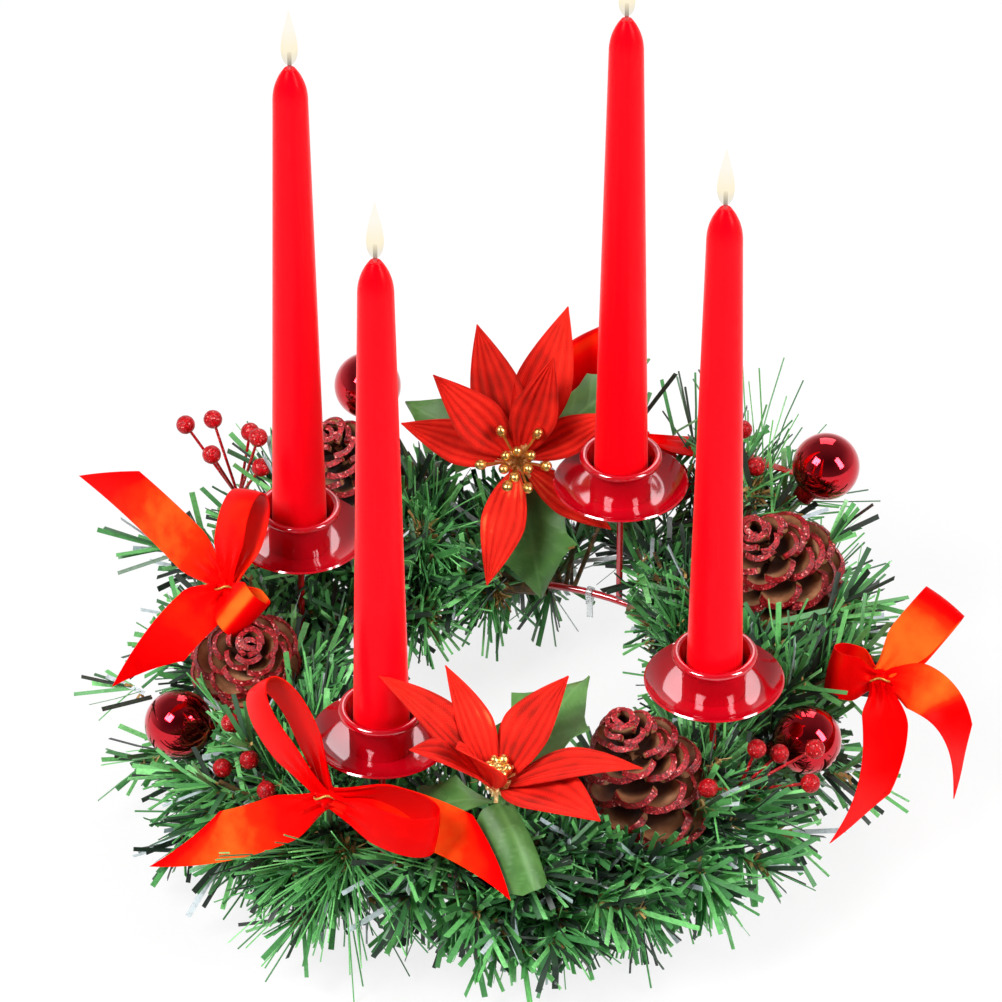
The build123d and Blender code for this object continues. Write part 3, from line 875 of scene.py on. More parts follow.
TWIG = Toned(
    "sprig_wire",
    ((0.3, (0.030, 0.045, 0.020)), (0.5, (0.11, 0.06, 0.02)), (0.75, (0.26, 0.15, 0.05))),
    420.0, (0.5, 0.8), 420.0, 0.5, 0.0006,
)
BALL = Toned(
    "bauble_lacquer",
    ((0.3, (0.56, 0.002, 0.012)), (0.7, (0.66, 0.004, 0.020))),
    300.0, (0.05, 0.10), 300.0, 0.02,
    fixed=(METAL, ("coat_weight", 0.5), ("coat_roughness", 0.03)),
)
CAP = Toned(
    "cap_metal",
    ((0.3, (0.40, 0.010, 0.015)), (0.7, (0.62, 0.030, 0.030))),
    500.0, (0.2, 0.38), 900.0, 0.1,
    fixed=(METAL,),
)
GOLD = Toned(
    "stamen_gold",
    ((0.3, (0.62, 0.36, 0.08)), (0.7, (0.95, 0.66, 0.24))),
    500.0, (0.22, 0.42), 1400.0, 0.25,
    fixed=(METAL,),
)
GOLD_FILM = Toned(
    "gold_film",
    ((0.3, (0.62, 0.34, 0.10)), (0.55, (0.95, 0.66, 0.30)), (0.8, (1.0, 0.88, 0.62))),
    420.0, (0.2, 0.5), 700.0, 0.8, 0.001,
    fixed=(("metallic", 0.6),),
)
THREAD = Toned(
    "gold_thread",
    ((0.3, (0.48, 0.22, 0.04)), (0.7, (0.85, 0.50, 0.12))),
    1500.0, (0.3, 0.5), 1500.0, 0.3,
    stretch=(1.0, 1.0, 4.0),
    fixed=(("metallic", 0.8),),
)
WIRE = Toned(
    "green_wire",
    ((0.3, (0.045, 0.060, 0.020)), (0.7, (0.10, 0.14, 0.05))),
    500.0, (0.55, 0.8), 500.0, 0.4,
    stretch=(1.0, 1.0, 5.0),
)
TIE = Toned(
    "clear_tie",
    ((0.3, (0.86, 0.90, 0.92)), (0.7, (0.94, 0.97, 0.98))),
    500.0, (0.12, 0.28), 500.0,
    fixed=(("transmission_weight", 0.75), ("ior", 1.5)),
)


@dataclass(frozen=True)
class Wick:
    """Braided cotton, waxed red at the foot and charred above."""

    charred: Span = (0.3155, 0.3190)
    waxed: Colour = (0.55, 0.06, 0.06)
    char: Colour = (0.025, 0.015, 0.012)
    turning: Span = (0.15, 0.75)
    braid: float = 9000.0
    gloss: Span = (0.7, 0.95)
    bump: Span = (0.5, 0.0002)

    def make(self) -> Material:
        """Build the material.

        Returns:
            The material.
        """
        shade = Shade("wick_cotton")
        where = shade.place()
        parts = shade.node("SeparateXYZ")
        shade.join(where, parts.inputs["Vector"])
        rise = shade.span(parts.outputs["Z"], self.charred, (0.0, 1.0))
        shade.colour(shade.ramp(rise, tuple(zip(self.turning, (self.waxed, self.char)))))
        braid = shade.group(weave_group(), where, warp=self.braid, weft=self.braid)
        shade.rough(braid.outputs["Shade"], self.gloss)
        shade.bump(braid.outputs["Height"], *self.bump)
        return shade.material


@dataclass(frozen=True)
class Flame:
    """A small flame, clear at its foot and pale above."""

    glow: Stops = ((0.0, (0.70, 0.62, 0.52)), (0.3, (1.0, 0.90, 0.66)), (0.7, (1.0, 0.96, 0.86)))
    foot: Span = (0.0, 0.35)
    cover: Span = (0.25, 0.92)

    def make(self) -> Material:
        """Build the material.

        Returns:
            The material.
        """
        shade = Shade("candle_flame")
        rise = shade.value("rise")
        shade.join(shade.ramp(rise, self.glow), shade.surface.inputs["Emission Color"])
        shade.join(shade.span(rise, self.foot, self.cover), shade.surface.inputs["Alpha"])
        shade.fix(base_color=(0.0, 0.0, 0.0, 1.0), emission_strength=1.0)
        shade.fix(roughness=1.0, specular_ior_level=0.0)
        return shade.material


@dataclass(frozen=True)
class Film:
    """Strips of film: each strip takes its own shade from a ramp."""

    name: str
    shades: Stops
    streak: Colour
    gloss: Span
    streak_scale: float = 700.0
    streak_detail: float = 2.0
    streaked: Stops = ((0.45, (0, 0, 0)), (0.8, (0.4, 0.4, 0.4)))
    bump: Span = (0.15, 0.0003)

    def make(self) -> Material:
        """Build the material.

        Returns:
            The material.
        """
        shade = Shade(self.name)
        streak = shade.noise(shade.place(), self.streak_scale, self.streak_detail)
        mask = shade.ramp(streak, self.streaked)
        shade.colour(shade.blend(mask, shade.ramp(shade.value("shade"), self.shades), self.streak))
        shade.rough(streak, self.gloss)
        shade.bump(streak, *self.bump)
        return shade.material


NEEDLE = Film(
    "pine_needle",
    (
        (0.00, (0.012, 0.018, 0.014)),
        (0.22, (0.028, 0.046, 0.034)),
        (0.32, (0.045, 0.170, 0.058)),
        (0.58, (0.095, 0.380, 0.100)),
        (0.80, (0.180, 0.600, 0.165)),
        (0.935, (0.280, 0.780, 0.260)),
        # The palest stops paint a few strips with glints, a painted reflection.
        (0.945, (0.400, 0.500, 0.540)),
        (1.00, (0.700, 0.780, 0.820)),
    ),
    (0.030, 0.080, 0.036),
    (0.30, 0.50),
)
HEART = Film(
    "sprig_heart",
    ((0.0, (0.14, 0.07, 0.02)), (0.6, (0.42, 0.23, 0.06)), (1.0, (0.70, 0.46, 0.17))),
    (0.20, 0.10, 0.03),
    (0.4, 0.65),
)


@dataclass(frozen=True)
class Glitter:
    """Red glitter: dark to bright grains, the brightest few painted as glints."""

    name: str
    grains: Stops
    scale: float
    gloss: Span
    bump: Span
    specular: float

    def make(self) -> Material:
        """Build the material.

        Returns:
            The material.
        """
        shade = Shade(self.name)
        grains = shade.group(glitter_group(), shade.place(), scale=self.scale)
        shade.colour(shade.ramp(grains.outputs["Sparkle"], self.grains))
        shade.rough(grains.outputs["Sparkle"], self.gloss)
        shade.bump(grains.outputs["Height"], *self.bump)
        shade.fix(specular_ior_level=self.specular)
        return shade.material


BERRY = Glitter(
    "berry_glitter",
    (
        (0.0, (0.24, 0.000, 0.003)),
        (0.7, (0.46, 0.002, 0.006)),
        (0.96, (0.70, 0.015, 0.02)),
        # The top stop paints a few grains as glints.
        (1.0, (0.95, 0.30, 0.26)),
    ),
    1900.0,
    (0.40, 0.15),
    (0.30, 0.0005),
    0.25,
)


@dataclass(frozen=True)
class ConeScale:
    """Cone scales: grained brown wood, painted shade at the roots, red glitter with painted glints on the rims.
    """

    wood: Stops = (
        (0.25, (0.160, 0.055, 0.024)),
        (0.5, (0.400, 0.165, 0.075)),
        (0.8, (0.620, 0.330, 0.180)),
    )
    grains: Stops = (
        (0.0, (0.11, 0.000, 0.003)),
        (0.7, (0.36, 0.003, 0.008)),
        (0.94, (0.66, 0.02, 0.03)),
        # The top stop paints a few grains as glints.
        (1.0, (1.0, 0.40, 0.35)),
    )
    # Painted shade for the scale roots, where the scales overlap.
    painted_root_shade: Stops = ((0.2, (0.020, 0.006, 0.004)), (0.8, (0.085, 0.026, 0.014)))
    wood_scale: float = 150.0
    wood_detail: float = 5.0
    grain_scale: float = 1500.0
    ragged: float = 0.40
    rim: Span = (0.74, 0.94)
    root: Span = (-0.95, -0.10)
    gloss: Span = (0.30, 0.55)
    bump: Span = (0.4, 0.0007)

    def make(self) -> Material:
        """Build the material.

        Returns:
            The material.
        """
        shade = Shade("cone_scale")
        where = shade.place()
        grain = shade.noise(where, self.wood_scale, self.wood_detail)
        grains = shade.group(glitter_group(), where, scale=self.grain_scale)
        uneven = shade.swing(grain, self.ragged)
        mask = shade.span(shade.math("ADD", shade.value("rim"), uneven), self.rim, (0.0, 1.0))
        # Painted shade: the wood colour darkens towards the scale roots, where the scales overlap.
        out = shade.span(shade.value("rim"), self.root, (0.0, 1.0))
        wood, red = shade.ramp(grain, self.wood), shade.ramp(grains.outputs["Sparkle"], self.grains)
        shade.colour(shade.blend(mask, shade.blend(out, shade.ramp(grain, self.painted_root_shade), wood), red))
        shade.rough(grains.outputs["Sparkle"], self.gloss)
        height = shade.math("MULTIPLY", grains.outputs["Height"], mask)
        shade.bump(shade.math("ADD", height, grain), *self.bump)
        return shade.material


@dataclass(frozen=True)
class Satin:
    """Red satin ribbon: painted orange highlight where it faces the key lamp, painted deep red shade elsewhere.
    """

    # Painted light tones: deep red for painted shade on faces turned away from the key lamp, orange for a
    # painted highlight on faces turned to it.
    painted_light_tones: Stops = (
        (0.0, (0.70, 0.000, 0.001)),
        (0.35, (0.95, 0.002, 0.002)),
        (0.66, (1.0, 0.020, 0.003)),
        (1.0, (1.0, 0.140, 0.014)),
    )
    gleam: Colour = (1.0, 0.52, 0.14)
    specular: float = 0.04
    warp: float = 900.0
    weft: float = 260.0
    patch_scale: float = 160.0
    patch_detail: float = 3.0
    patch: float = 0.35
    gloss: Span = (0.26, 0.36)
    bump: Span = (0.08, 0.0002)

    def make(self) -> Material:
        """Build the material.

        Returns:
            The material.
        """
        shade = Shade("ribbon_satin")
        where = shade.place(source="UV")
        weave = shade.group(weave_group(), where, warp=self.warp, weft=self.weft)
        patch = shade.noise(shade.place(), self.patch_scale, self.patch_detail)
        # The glow value is painted light, from how each face turns to the key lamp, broken up by noise.
        glow = shade.math("ADD", shade.value("glow"), shade.swing(patch, self.patch))
        shade.colour(shade.ramp(glow, self.painted_light_tones))
        shade.rough(weave.outputs["Shade"], self.gloss)
        shade.bump(weave.outputs["Height"], *self.bump)
        shade.fix(specular_tint=(*self.gleam, 1.0), specular_ior_level=self.specular)
        return shade.material


@dataclass(frozen=True)
class PetalCloth:
    """Ribbed red cloth with orange threads, painted shade in its pleats and a painted orange highlight on its
    ridges.
    """

    # Painted pleat tones: dark red for painted shade in the pleats, orange for a painted highlight on the
    # ridges, with random tone from noise between.
    painted_pleat_tones: Stops = (
        (0.05, (0.34, 0.000, 0.003)),
        (0.42, (0.70, 0.003, 0.005)),
        (0.78, (0.92, 0.016, 0.010)),
        (1.0, (1.0, 0.150, 0.050)),
    )
    thread: Colour = (1.0, 0.30, 0.12)
    threads: Stops = ((0.35, (0, 0, 0)), (1.0, (0.14, 0.14, 0.14)))
    gleam: Colour = (1.0, 0.60, 0.35)
    specular: float = 0.12
    warp: float = 420.0
    weft: float = 150.0
    patch_scale: float = 75.0
    patch: float = 1.3
    gloss: Span = (0.34, 0.55)
    bump: Span = (0.30, 0.0003)

    def make(self) -> Material:
        """Build the material.

        Returns:
            The material.
        """
        shade = Shade("petal_cloth")
        where = shade.place(source="UV")
        weave = shade.group(weave_group(), where, warp=self.warp, weft=self.weft)
        patch = shade.swing(shade.noise(shade.place(), self.patch_scale), self.patch)
        # Colour from the pleat value: painted shade in the pleats, painted highlight on the ridges.
        base = shade.ramp(shade.math("ADD", shade.value("painted_pleat_light"), patch), self.painted_pleat_tones)
        ribs = shade.ramp(weave.outputs["Shade"], self.threads)
        shade.colour(shade.blend(ribs, base, self.thread))
        shade.rough(weave.outputs["Shade"], self.gloss)
        shade.bump(weave.outputs["Height"], *self.bump)
        shade.fix(specular_tint=(*self.gleam, 1.0), specular_ior_level=self.specular)
        return shade.material


@dataclass(frozen=True)
class LeafCloth:
    """Satin green cloth with a pale midrib and side veins."""

    green: Stops = ((0.3, (0.052, 0.150, 0.030)), (0.7, (0.105, 0.260, 0.062)))
    rib: Colour = (0.15, 0.33, 0.10)
    rib_share: float = 0.55
    rib_height: float = 3.0
    specular: float = 0.4
    warp: float = 500.0
    weft: float = 300.0
    patch_scale: float = 110.0
    patch_detail: float = 5.0
    gloss: Span = (0.28, 0.42)
    bump: Span = (0.15, 0.0004)

    def make(self) -> Material:
        """Build the material.

        Returns:
            The material.
        """
        shade = Shade("leaf_cloth")
        vein = shade.value("vein")
        where = shade.place(source="UV")
        weave = shade.group(weave_group(), where, warp=self.warp, weft=self.weft)
        noise = shade.noise(shade.place(), self.patch_scale, self.patch_detail)
        patch = shade.ramp(noise, self.green)
        shade.colour(shade.blend(shade.math("MULTIPLY", vein, self.rib_share), patch, self.rib))
        shade.rough(weave.outputs["Shade"], self.gloss)
        height = shade.math("MULTIPLY", vein, self.rib_height)
        shade.bump(shade.math("ADD", weave.outputs["Height"], height), *self.bump)
        shade.fix(specular_ior_level=self.specular)
        return shade.material


@dataclass
class Palette:
    """The wreath's materials, each made once from its finish."""

    lacquer: Material = field(default_factory=LACQUER.make)
    wax: Material = field(default_factory=WAX.make)
    wick: Material = field(default_factory=Wick().make)
    flame: Material = field(default_factory=Flame().make)
    needle: Material = field(default_factory=NEEDLE.make)
    heart: Material = field(default_factory=HEART.make)
    twig: Material = field(default_factory=TWIG.make)
    scale: Material = field(default_factory=ConeScale().make)
    ball: Material = field(default_factory=BALL.make)
    cap: Material = field(default_factory=CAP.make)
    berry: Material = field(default_factory=BERRY.make)
    satin: Material = field(default_factory=Satin().make)
    petal: Material = field(default_factory=PetalCloth().make)
    leaf: Material = field(default_factory=LeafCloth().make)
    gold: Material = field(default_factory=GOLD.make)
    gold_film: Material = field(default_factory=GOLD_FILM.make)
    thread: Material = field(default_factory=THREAD.make)
    wire: Material = field(default_factory=WIRE.make)
    tie: Material = field(default_factory=TIE.make)


# sub-assemblies


def dress_node(node: str, material: Material) -> None:
    """Give a solid that stays visible its finish.

    Args:
        node: Name of the solid.
        material: Its finish.
    """
    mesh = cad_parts[node].data
    mesh.materials.clear()
    mesh.materials.append(material)


def samples(root: Points, way: Points, length: Points) -> Points:
    """Points along straight runs, for testing them against a room.

    Args:
        root: Feet of the runs.
        way: Their directions.
        length: Their lengths.

    Returns:
        Sample points, as (runs, samples, 3).
    """
    return root[:, None, :] + way[:, None, :] * (length[:, None] * SAMPLE_SHARES)[..., None]


def strips(
    blank: Blank, root: Points, way: Points, sizes: Points, rng: Rng, bend: float = 0.07
) -> Blank:
    """Strips from their feet along their ways, each turned and bent by chance.

    Args:
        blank: Blank of a strip.
        root: Feet of the strips.
        way: Their directions.
        sizes: Width, thickness and length of each.
        rng: Source of chance.
        bend: Usual bend of a strip's end, as a share of its length.

    Returns:
        Points and faces of all strips.
    """
    first, second = across_of(way)
    turn = rng.uniform(0, np.pi, len(root))[:, None]
    flat = first * np.cos(turn) + second * np.sin(turn)
    frames = np.stack((flat, np.cross(way, flat), way), axis=1)
    return copies(blank, root, frames, sizes, rng.normal(0.0, bend, len(root)))


def sized(rng: Rng, count: int, width: Span, thick: float, length: Span) -> Points:
    """Width, thickness and length of a number of strips, by chance.

    Args:
        rng: Source of chance.
        count: Number of strips.
        width: Least and greatest width.
        thick: Thickness.
        length: Least and greatest length.

    Returns:
        One row for each strip.
    """
    widths = rng.uniform(*width, count)
    return np.stack((widths, np.full(count, thick), rng.uniform(*length, count)), axis=1)


def cleared(
    blank: Blank, root: Points, way: Points, sizes: Points, room: Room, rng: Rng
) -> tuple[Blank, Points]:
    """Those strips that are clear of a room's spaces.

    Args:
        blank: Blank of a strip.
        root: Feet of the strips.
        way: Their directions.
        sizes: Width, thickness and length of each.
        room: Spaces that stay clear.
        rng: Source of chance.

    Returns:
        Points and faces of the strips, and which of the rows they are.
    """
    keep = room.clear(samples(root, way, sizes[:, 2]))
    return strips(blank, root[keep], way[keep], sizes[keep], rng), keep


@dataclass
class CandleStand:
    """Wire hoop with its posts, trays and cups, and the candles that stand in them."""

    tray_radius: float = 30.0
    tray_level: float = 76.0
    tray_lead: float = 12.0
    cup_top: float = 113.0
    candle_clear: float = 16.0
    candle_top: float = 360.0
    bare_post: str = "back_right"
    bare_radius: float = 8.0
    bare_width: float = 15.0
    bare_runs: tuple[tuple[Reach, Reach], ...] = (
        ((58.0, -16.0, 4.0), (74.0, -14.0, 4.0)),
        ((60.0, -6.0, 10.0), (60.0, -22.0, 48.0)),
    )
    hole: Reach = (13.0, 22.0, 46.0)
    hole_rise: float = 30.0
    flame_foot: float = 316.6
    flame_height: float = 24.6
    flame_radius: float = 3.5
    flame_low: float = 0.62
    flame_full: float = 0.9
    flame_slim: float = 0.25
    flame_rings: int = 22
    flame_steps: int = 24

    def reserve(self, room: Room) -> None:
        """Keep needles off the trays, cups and candles, the bare post and the hole.

        Args:
            room: Spaces that stay clear.
        """
        for angle in POST_ANGLES.values():
            foot = around(angle, 0, 0)
            lead = foot - np.array((0.0, self.tray_lead, 0.0))
            room.columns.append(Column(foot, self.tray_level, self.cup_top, self.tray_radius))
            room.columns.append(Column(lead, self.tray_level, self.cup_top, self.tray_radius))
            room.columns.append(Column(foot, self.cup_top, self.candle_top, self.candle_clear))
        bare = around(POST_ANGLES[self.bare_post], 0, 0)
        room.columns.append(Column(bare, 0.0, self.tray_level, self.bare_radius))
        for start, end in self.bare_runs:
            room.capsules.append(Capsule(around(*start), around(*end), self.bare_width))
        middle = np.array((*self.hole[:2], 0.0))
        room.columns.append(Column(middle, 0.0, RING_HEIGHT + self.hole_rise, self.hole[2]))

    def build(self, palette: Palette) -> None:
        """Dress the metal, wax and wicks, and light the candles.

        Args:
            palette: The materials.
        """
        dress_node("frame_ring", palette.lacquer)
        dress_node("pick_wires", palette.wire)
        dress_node("berry_stems", palette.berry)
        dress_node("garland_ties", palette.tie)
        for name, angle in POST_ANGLES.items():
            for kind in ("post", "drip_tray", "candle_cup"):
                dress_node(f"{kind}_{name}", palette.lacquer)
            dress_node(f"candle_{name}", palette.wax)
            dress_node(f"wick_{name}", palette.wick)
            self.flame(name, around(angle, 0, 0), palette.flame)

    def flame(self, name: str, foot: Points, material: Material) -> None:
        """A flame round one wick.

        Args:
            name: Place of the candle.
            foot: Point of the hoop below it.
            material: The flame's material.
        """
        shares = np.linspace(0.0, 1.0, self.flame_rings)
        swell = self.flame_radius * np.sin(np.pi * shares**self.flame_low) ** self.flame_full
        swell = swell * (1 - self.flame_slim * shares)
        profile = [(max(r, 0.0), t * self.flame_height) for r, t in zip(swell, shares)]
        profile[0] = (0.0, 0.0)
        profile[-1] = (0.0, self.flame_height)
        piece = lathe(f"flame_{name}", profile, self.flame_steps)
        heights = np.array([v.co.z for v in piece.data.vertices])
        add_value(piece, "rise", heights / (self.flame_height * MM))
        piece.data.transform(Matrix.Translation(Vector((foot[0], foot[1], self.flame_foot)) * MM))
        piece.data.materials.append(material)
        settle(piece, "wick_cotton", body=f"candle_{name}")


@dataclass(frozen=True)
class Sprig:
    """One sprig: its foot, its direction, its length, its sag and whether its needles are fine."""

    foot: Points
    along: Points
    stem: float
    sag: Points
    fine: bool

    def at(self, share: Points) -> Points:
        """Places along the stem."""
        run = (self.stem * np.asarray(share, float))[:, None]
        return self.foot + self.along * run + self.sag * run * np.asarray(share)[:, None]


@dataclass
class Garland:
    """Artificial pine: sprigs of cut film strips all along the hoop."""

    bare_before: float = 6.0
    bare_after: float = 18.0
    joint_gap: float = 1.0
    core_radius: float = 4.6
    core_trim: float = 8.0
    core_sides: int = 10
    core_steps: int = 14
    station_step: float = 2.9
    station_stray: Span = (0.1, 0.9)
    sprigs_per_station: int = 5
    spokes: tuple[float, ...] = (
        -88.0, -52.0, -22.0, 6.0, 30.0, 54.0, 78.0, 102.0, 128.0, 154.0, 182.0, 214.0,
    )
    spoke_steps: tuple[int, int] = (5, 3)
    spoke_stray: Span = (-14.0, 14.0)
    flat_count: int = 40
    flat_length: Span = (14.0, 27.0)
    flat_width: Span = (1.5, 2.4)
    flat_swing: Span = (0.85, 1.15)
    fine_count: int = 64
    fine_length: Span = (18.0, 32.0)
    fine_width: Span = (0.5, 0.8)
    fine_tone: Span = (0.12, 0.80)
    fine_arcs: tuple[Span, ...] = ((150.0, 262.0), (15.0, 62.0))
    fine_shares: Span = (0.12, 0.36)
    fine_stem: float = 26.0
    short_arc: Span = (160.0, 225.0)
    short_spoke: float = 60.0
    thickness: float = 0.22
    count_swing: Span = (0.8, 1.2)
    fullness: Span = (0.55, 0.45)
    foot_share: float = 0.02
    stem_length: Span = (16.0, 40.0)
    stem_width: float = 1.5
    stem_out: float = 3.0
    stem_in: float = 2.0
    stem_sag: float = 0.12
    splay: Span = (64.0, 34.0)
    splay_stray: float = 12.0
    lean: Span = (-25.0, 50.0)
    hearts: int = 8
    heart_shares: Span = (0.75, 1.0)
    heart_spread: float = 0.9
    heart_width: Span = (0.8, 1.6)
    heart_length: Span = (2.5, 5.5)
    usual_reach: float = 0.86
    side_reach: float = 0.44
    tall_arcs: tuple[Reach, ...] = ((40.0, 26.0, 1.0), (128.0, 24.0, 0.75))
    tall_spoke: float = 50.0
    low_spoke: float = 235.0
    low_cut: float = 0.8
    low_side: float = -0.4
    low_length: float = 18.0
    behind: Span = (0.25, 0.75)
    least_reach: float = 0.42
    tall: tuple[tuple[float, Reach, bool], ...] = (
        (5.0, (52.0, 30.0, 35.0), False),
        (25.0, (56.0, 36.0, 45.0), False),
        (36.0, (46.0, 30.0, 58.0), False),
        (45.0, (36.0, 42.0, 62.0), True),
        (51.0, (8.0, 40.0, 74.0), True),
        (55.0, (22.0, 38.0, 68.0), False),
        (112.0, (-4.0, 30.0, 60.0), False),
        (128.0, (0.0, 40.0, 62.0), False),
        (141.0, (-14.0, 36.0, 64.0), False),
        (164.0, (-20.0, 34.0, 54.0), False),
        (168.0, (-34.0, 26.0, 28.0), False),
        (174.0, (-32.0, 16.0, 20.0), False),
        (186.0, (-30.0, -4.0, 14.0), False),
    )
    tall_count: int = 3
    tall_stem: Span = (0.66, 0.98)
    tall_stray: float = 0.16
    tall_shift: Span = (-4.0, 4.0)
    tall_sag: float = 0.08

    def reach(self, angle: float, spoke: float) -> float:
        """How much longer than usual a sprig is.

        Args:
            angle: Ring angle in degrees.
            spoke: Direction round the hoop: 0 is outward, 90 up and 180 inward.

        Returns:
            Factor of its stem's length.
        """
        turn = (angle + 180.0) % 360.0 - 180.0
        rising = max(0.0, math.cos(math.radians(spoke - self.tall_spoke)))
        tall = sum(
            gain * math.exp(-(((turn - middle) / width) ** 2))
            for middle, width, gain in self.tall_arcs
        )
        sides = abs(math.cos(math.radians(turn)))
        outer = max(0.0, math.cos(math.radians(spoke)))
        behind = float(ease(math.sin(math.radians(turn)), *self.behind))
        below = max(0.0, math.cos(math.radians(spoke - self.low_spoke))) ** 0.5
        grown = self.usual_reach + self.side_reach * sides * outer + rising * tall
        return grown * (1.0 - self.low_cut * behind * below)

    def sprigs(self, first: float, last: float, rng: Rng) -> list[Sprig]:
        """Sprigs of one length of garland.

        Args:
            first: Ring angle where it starts.
            last: Ring angle where it ends.
            rng: Source of chance.

        Returns:
            The sprigs.
        """
        found = []
        stations = max(2, round((last - first) / self.station_step))
        for number in range(stations * self.sprigs_per_station):
            station, turn = divmod(number, self.sprigs_per_station)
            place = station + rng.uniform(*self.station_stray)
            angle = first + (last - first) * place / stations
            step = station * self.spoke_steps[0] + turn * self.spoke_steps[1]
            spoke = self.spokes[step % len(self.spokes)] + rng.uniform(*self.spoke_stray)
            reach = self.reach(angle, spoke)
            if reach < self.least_reach:
                continue
            radial = unit(around(angle, 0, 0) * (1, 1, 0))
            tangent = np.array((-radial[1], radial[0], 0.0))
            side = radial * math.cos(math.radians(spoke)) + UP * math.sin(math.radians(spoke))
            lean = math.radians(rng.uniform(*self.lean))
            length = rng.uniform(*self.stem_length) * reach
            if side[2] < self.low_side:
                length = min(length, self.low_length)
            turned = (angle + 360.0) % 360.0
            often = any(low < turned < high for low, high in self.fine_arcs)
            fine = rng.uniform() < self.fine_shares[often]
            short = self.short_arc[0] < turned < self.short_arc[1]
            if fine and short and abs(spoke) < self.short_spoke:
                length = min(length, self.fine_stem)
            along = unit(side * math.cos(lean) + tangent * math.sin(lean))
            foot = around(angle, 0, 0) + side * self.stem_out
            found.append(Sprig(foot, along, length, rng.normal(0.0, self.stem_sag, 3), fine))
        for angle, reach, fine in self.tall:
            if not first <= angle <= last:
                continue
            for _ in range(self.tall_count):
                along = unit(unit(np.array(reach)) + rng.normal(0.0, self.tall_stray, 3))
                length = float(np.linalg.norm(reach)) * rng.uniform(*self.tall_stem)
                shifted = angle + rng.uniform(*self.tall_shift)
                foot = around(shifted, 0, 0) + along * self.stem_out
                found.append(Sprig(foot, along, length, rng.normal(0.0, self.tall_sag, 3), fine))
        return found

    def needles(self, sprig: Sprig, rng: Rng) -> tuple[Points, Points, Points, Points]:
        """Needles of one sprig.

        Args:
            sprig: The sprig.
            rng: Source of chance.

        Returns:
            Feet, directions, sizes and shades of its needles.
        """
        fullness = self.fullness[0] + self.fullness[1] * sprig.stem / self.stem_length[1]
        usual = self.fine_count if sprig.fine else self.flat_count
        count = int(usual * fullness * rng.uniform(*self.count_swing))
        share = np.sqrt(rng.uniform(self.foot_share, 1.0, count))
        first, second = across_of(sprig.along[None, :])
        turn = rng.uniform(0, 2 * np.pi, count)[:, None]
        splay = self.splay[0] + (self.splay[1] - self.splay[0]) * share
        splay = np.radians(splay + rng.normal(0, self.splay_stray, count))[:, None]
        spread = first * np.cos(turn) + second * np.sin(turn)
        way = sprig.along * np.cos(splay) + spread * np.sin(splay)
        if sprig.fine:
            sizes = sized(rng, count, self.fine_width, self.fine_width[0], self.fine_length)
            tone = rng.uniform(*self.fine_tone, count)
        else:
            sizes = sized(rng, count, self.flat_width, self.thickness, self.flat_length)
            sizes[:, 2] *= rng.uniform(*self.flat_swing)
            tone = rng.uniform(0.0, 1.0, count)
        return sprig.at(share), unit(way), sizes, tone

    def build(self, palette: Palette, room: Room) -> None:
        """Make the eight lengths of garland.

        Args:
            palette: The materials.
            room: Spaces that stay clear.
        """
        blanks = strip_blank(1), strip_blank(2)
        rng = np.random.default_rng(SEED)
        gap = math.degrees(self.joint_gap / RING_RADIUS)
        before = math.degrees(self.bare_before / RING_RADIUS)
        after = math.degrees(self.bare_after / RING_RADIUS)
        for name, post in POST_ANGLES.items():
            spans = (post + after, post + 45.0 - gap), (post + 45.0 + gap, post + 90.0 - before)
            for mark, span in zip("ab", spans):
                self.build_length(f"{name}_{mark}", span, blanks, palette, room, rng)

    def build_length(
        self,
        name: str,
        span: Span,
        blanks: tuple[Blank, Blank],
        palette: Palette,
        room: Room,
        rng: Rng,
    ) -> None:
        """Make one length of garland as one piece.

        Args:
            name: Its name.
            span: Ring angles where it starts and ends.
            blanks: Blank of a needle and of a stem.
            palette: The materials.
            room: Spaces that stay clear.
            rng: Source of chance.
        """
        sprigs = self.sprigs(*span, rng)
        columns = zip(*(self.needles(sprig, rng) for sprig in sprigs))
        root, way, sizes, tone = (np.concatenate(column) for column in columns)
        needle, keep = cleared(blanks[0], root, way, sizes, room, rng)
        corners = len(blanks[0][0])
        tones = [np.repeat(tone[keep], corners)]
        root = np.array([s.foot - s.along * self.stem_in for s in sprigs])
        way = unit(np.array([s.along + s.sag * 0.5 for s in sprigs]))
        width = self.stem_width
        sizes = np.array([(width, width, s.stem + self.stem_in) for s in sprigs])
        stem, _ = cleared(blanks[1], root, way, sizes, room, rng)
        tones.append(np.zeros(len(stem[0])))
        root = np.concatenate([s.at(rng.uniform(*self.heart_shares, self.hearts)) for s in sprigs])
        along = np.repeat([s.along for s in sprigs], self.hearts, axis=0)
        way = unit(along + rng.normal(0, self.heart_spread, (len(root), 3)))
        sizes = sized(rng, len(root), self.heart_width, self.thickness, self.heart_length)
        heart, keep = cleared(blanks[0], root, way, sizes, room, rng)
        tones.append(np.repeat(rng.uniform(0, 1, keep.sum()), corners))
        core = self.core(span[0] + self.core_trim, span[1])
        tones.append(np.zeros(len(core[0])))
        points, faces, marks = joined(needle, stem, heart, core)
        points[:, 2] = np.maximum(points[:, 2], FLOOR_GAP)
        materials = [palette.needle, palette.twig, palette.heart, palette.twig]
        values = {"shade": np.concatenate(tones)}
        piece = make_piece(f"pine_{name}", points, faces, materials, marks, values=values)
        settle(piece, "pine_needle", f"garland_{name}")

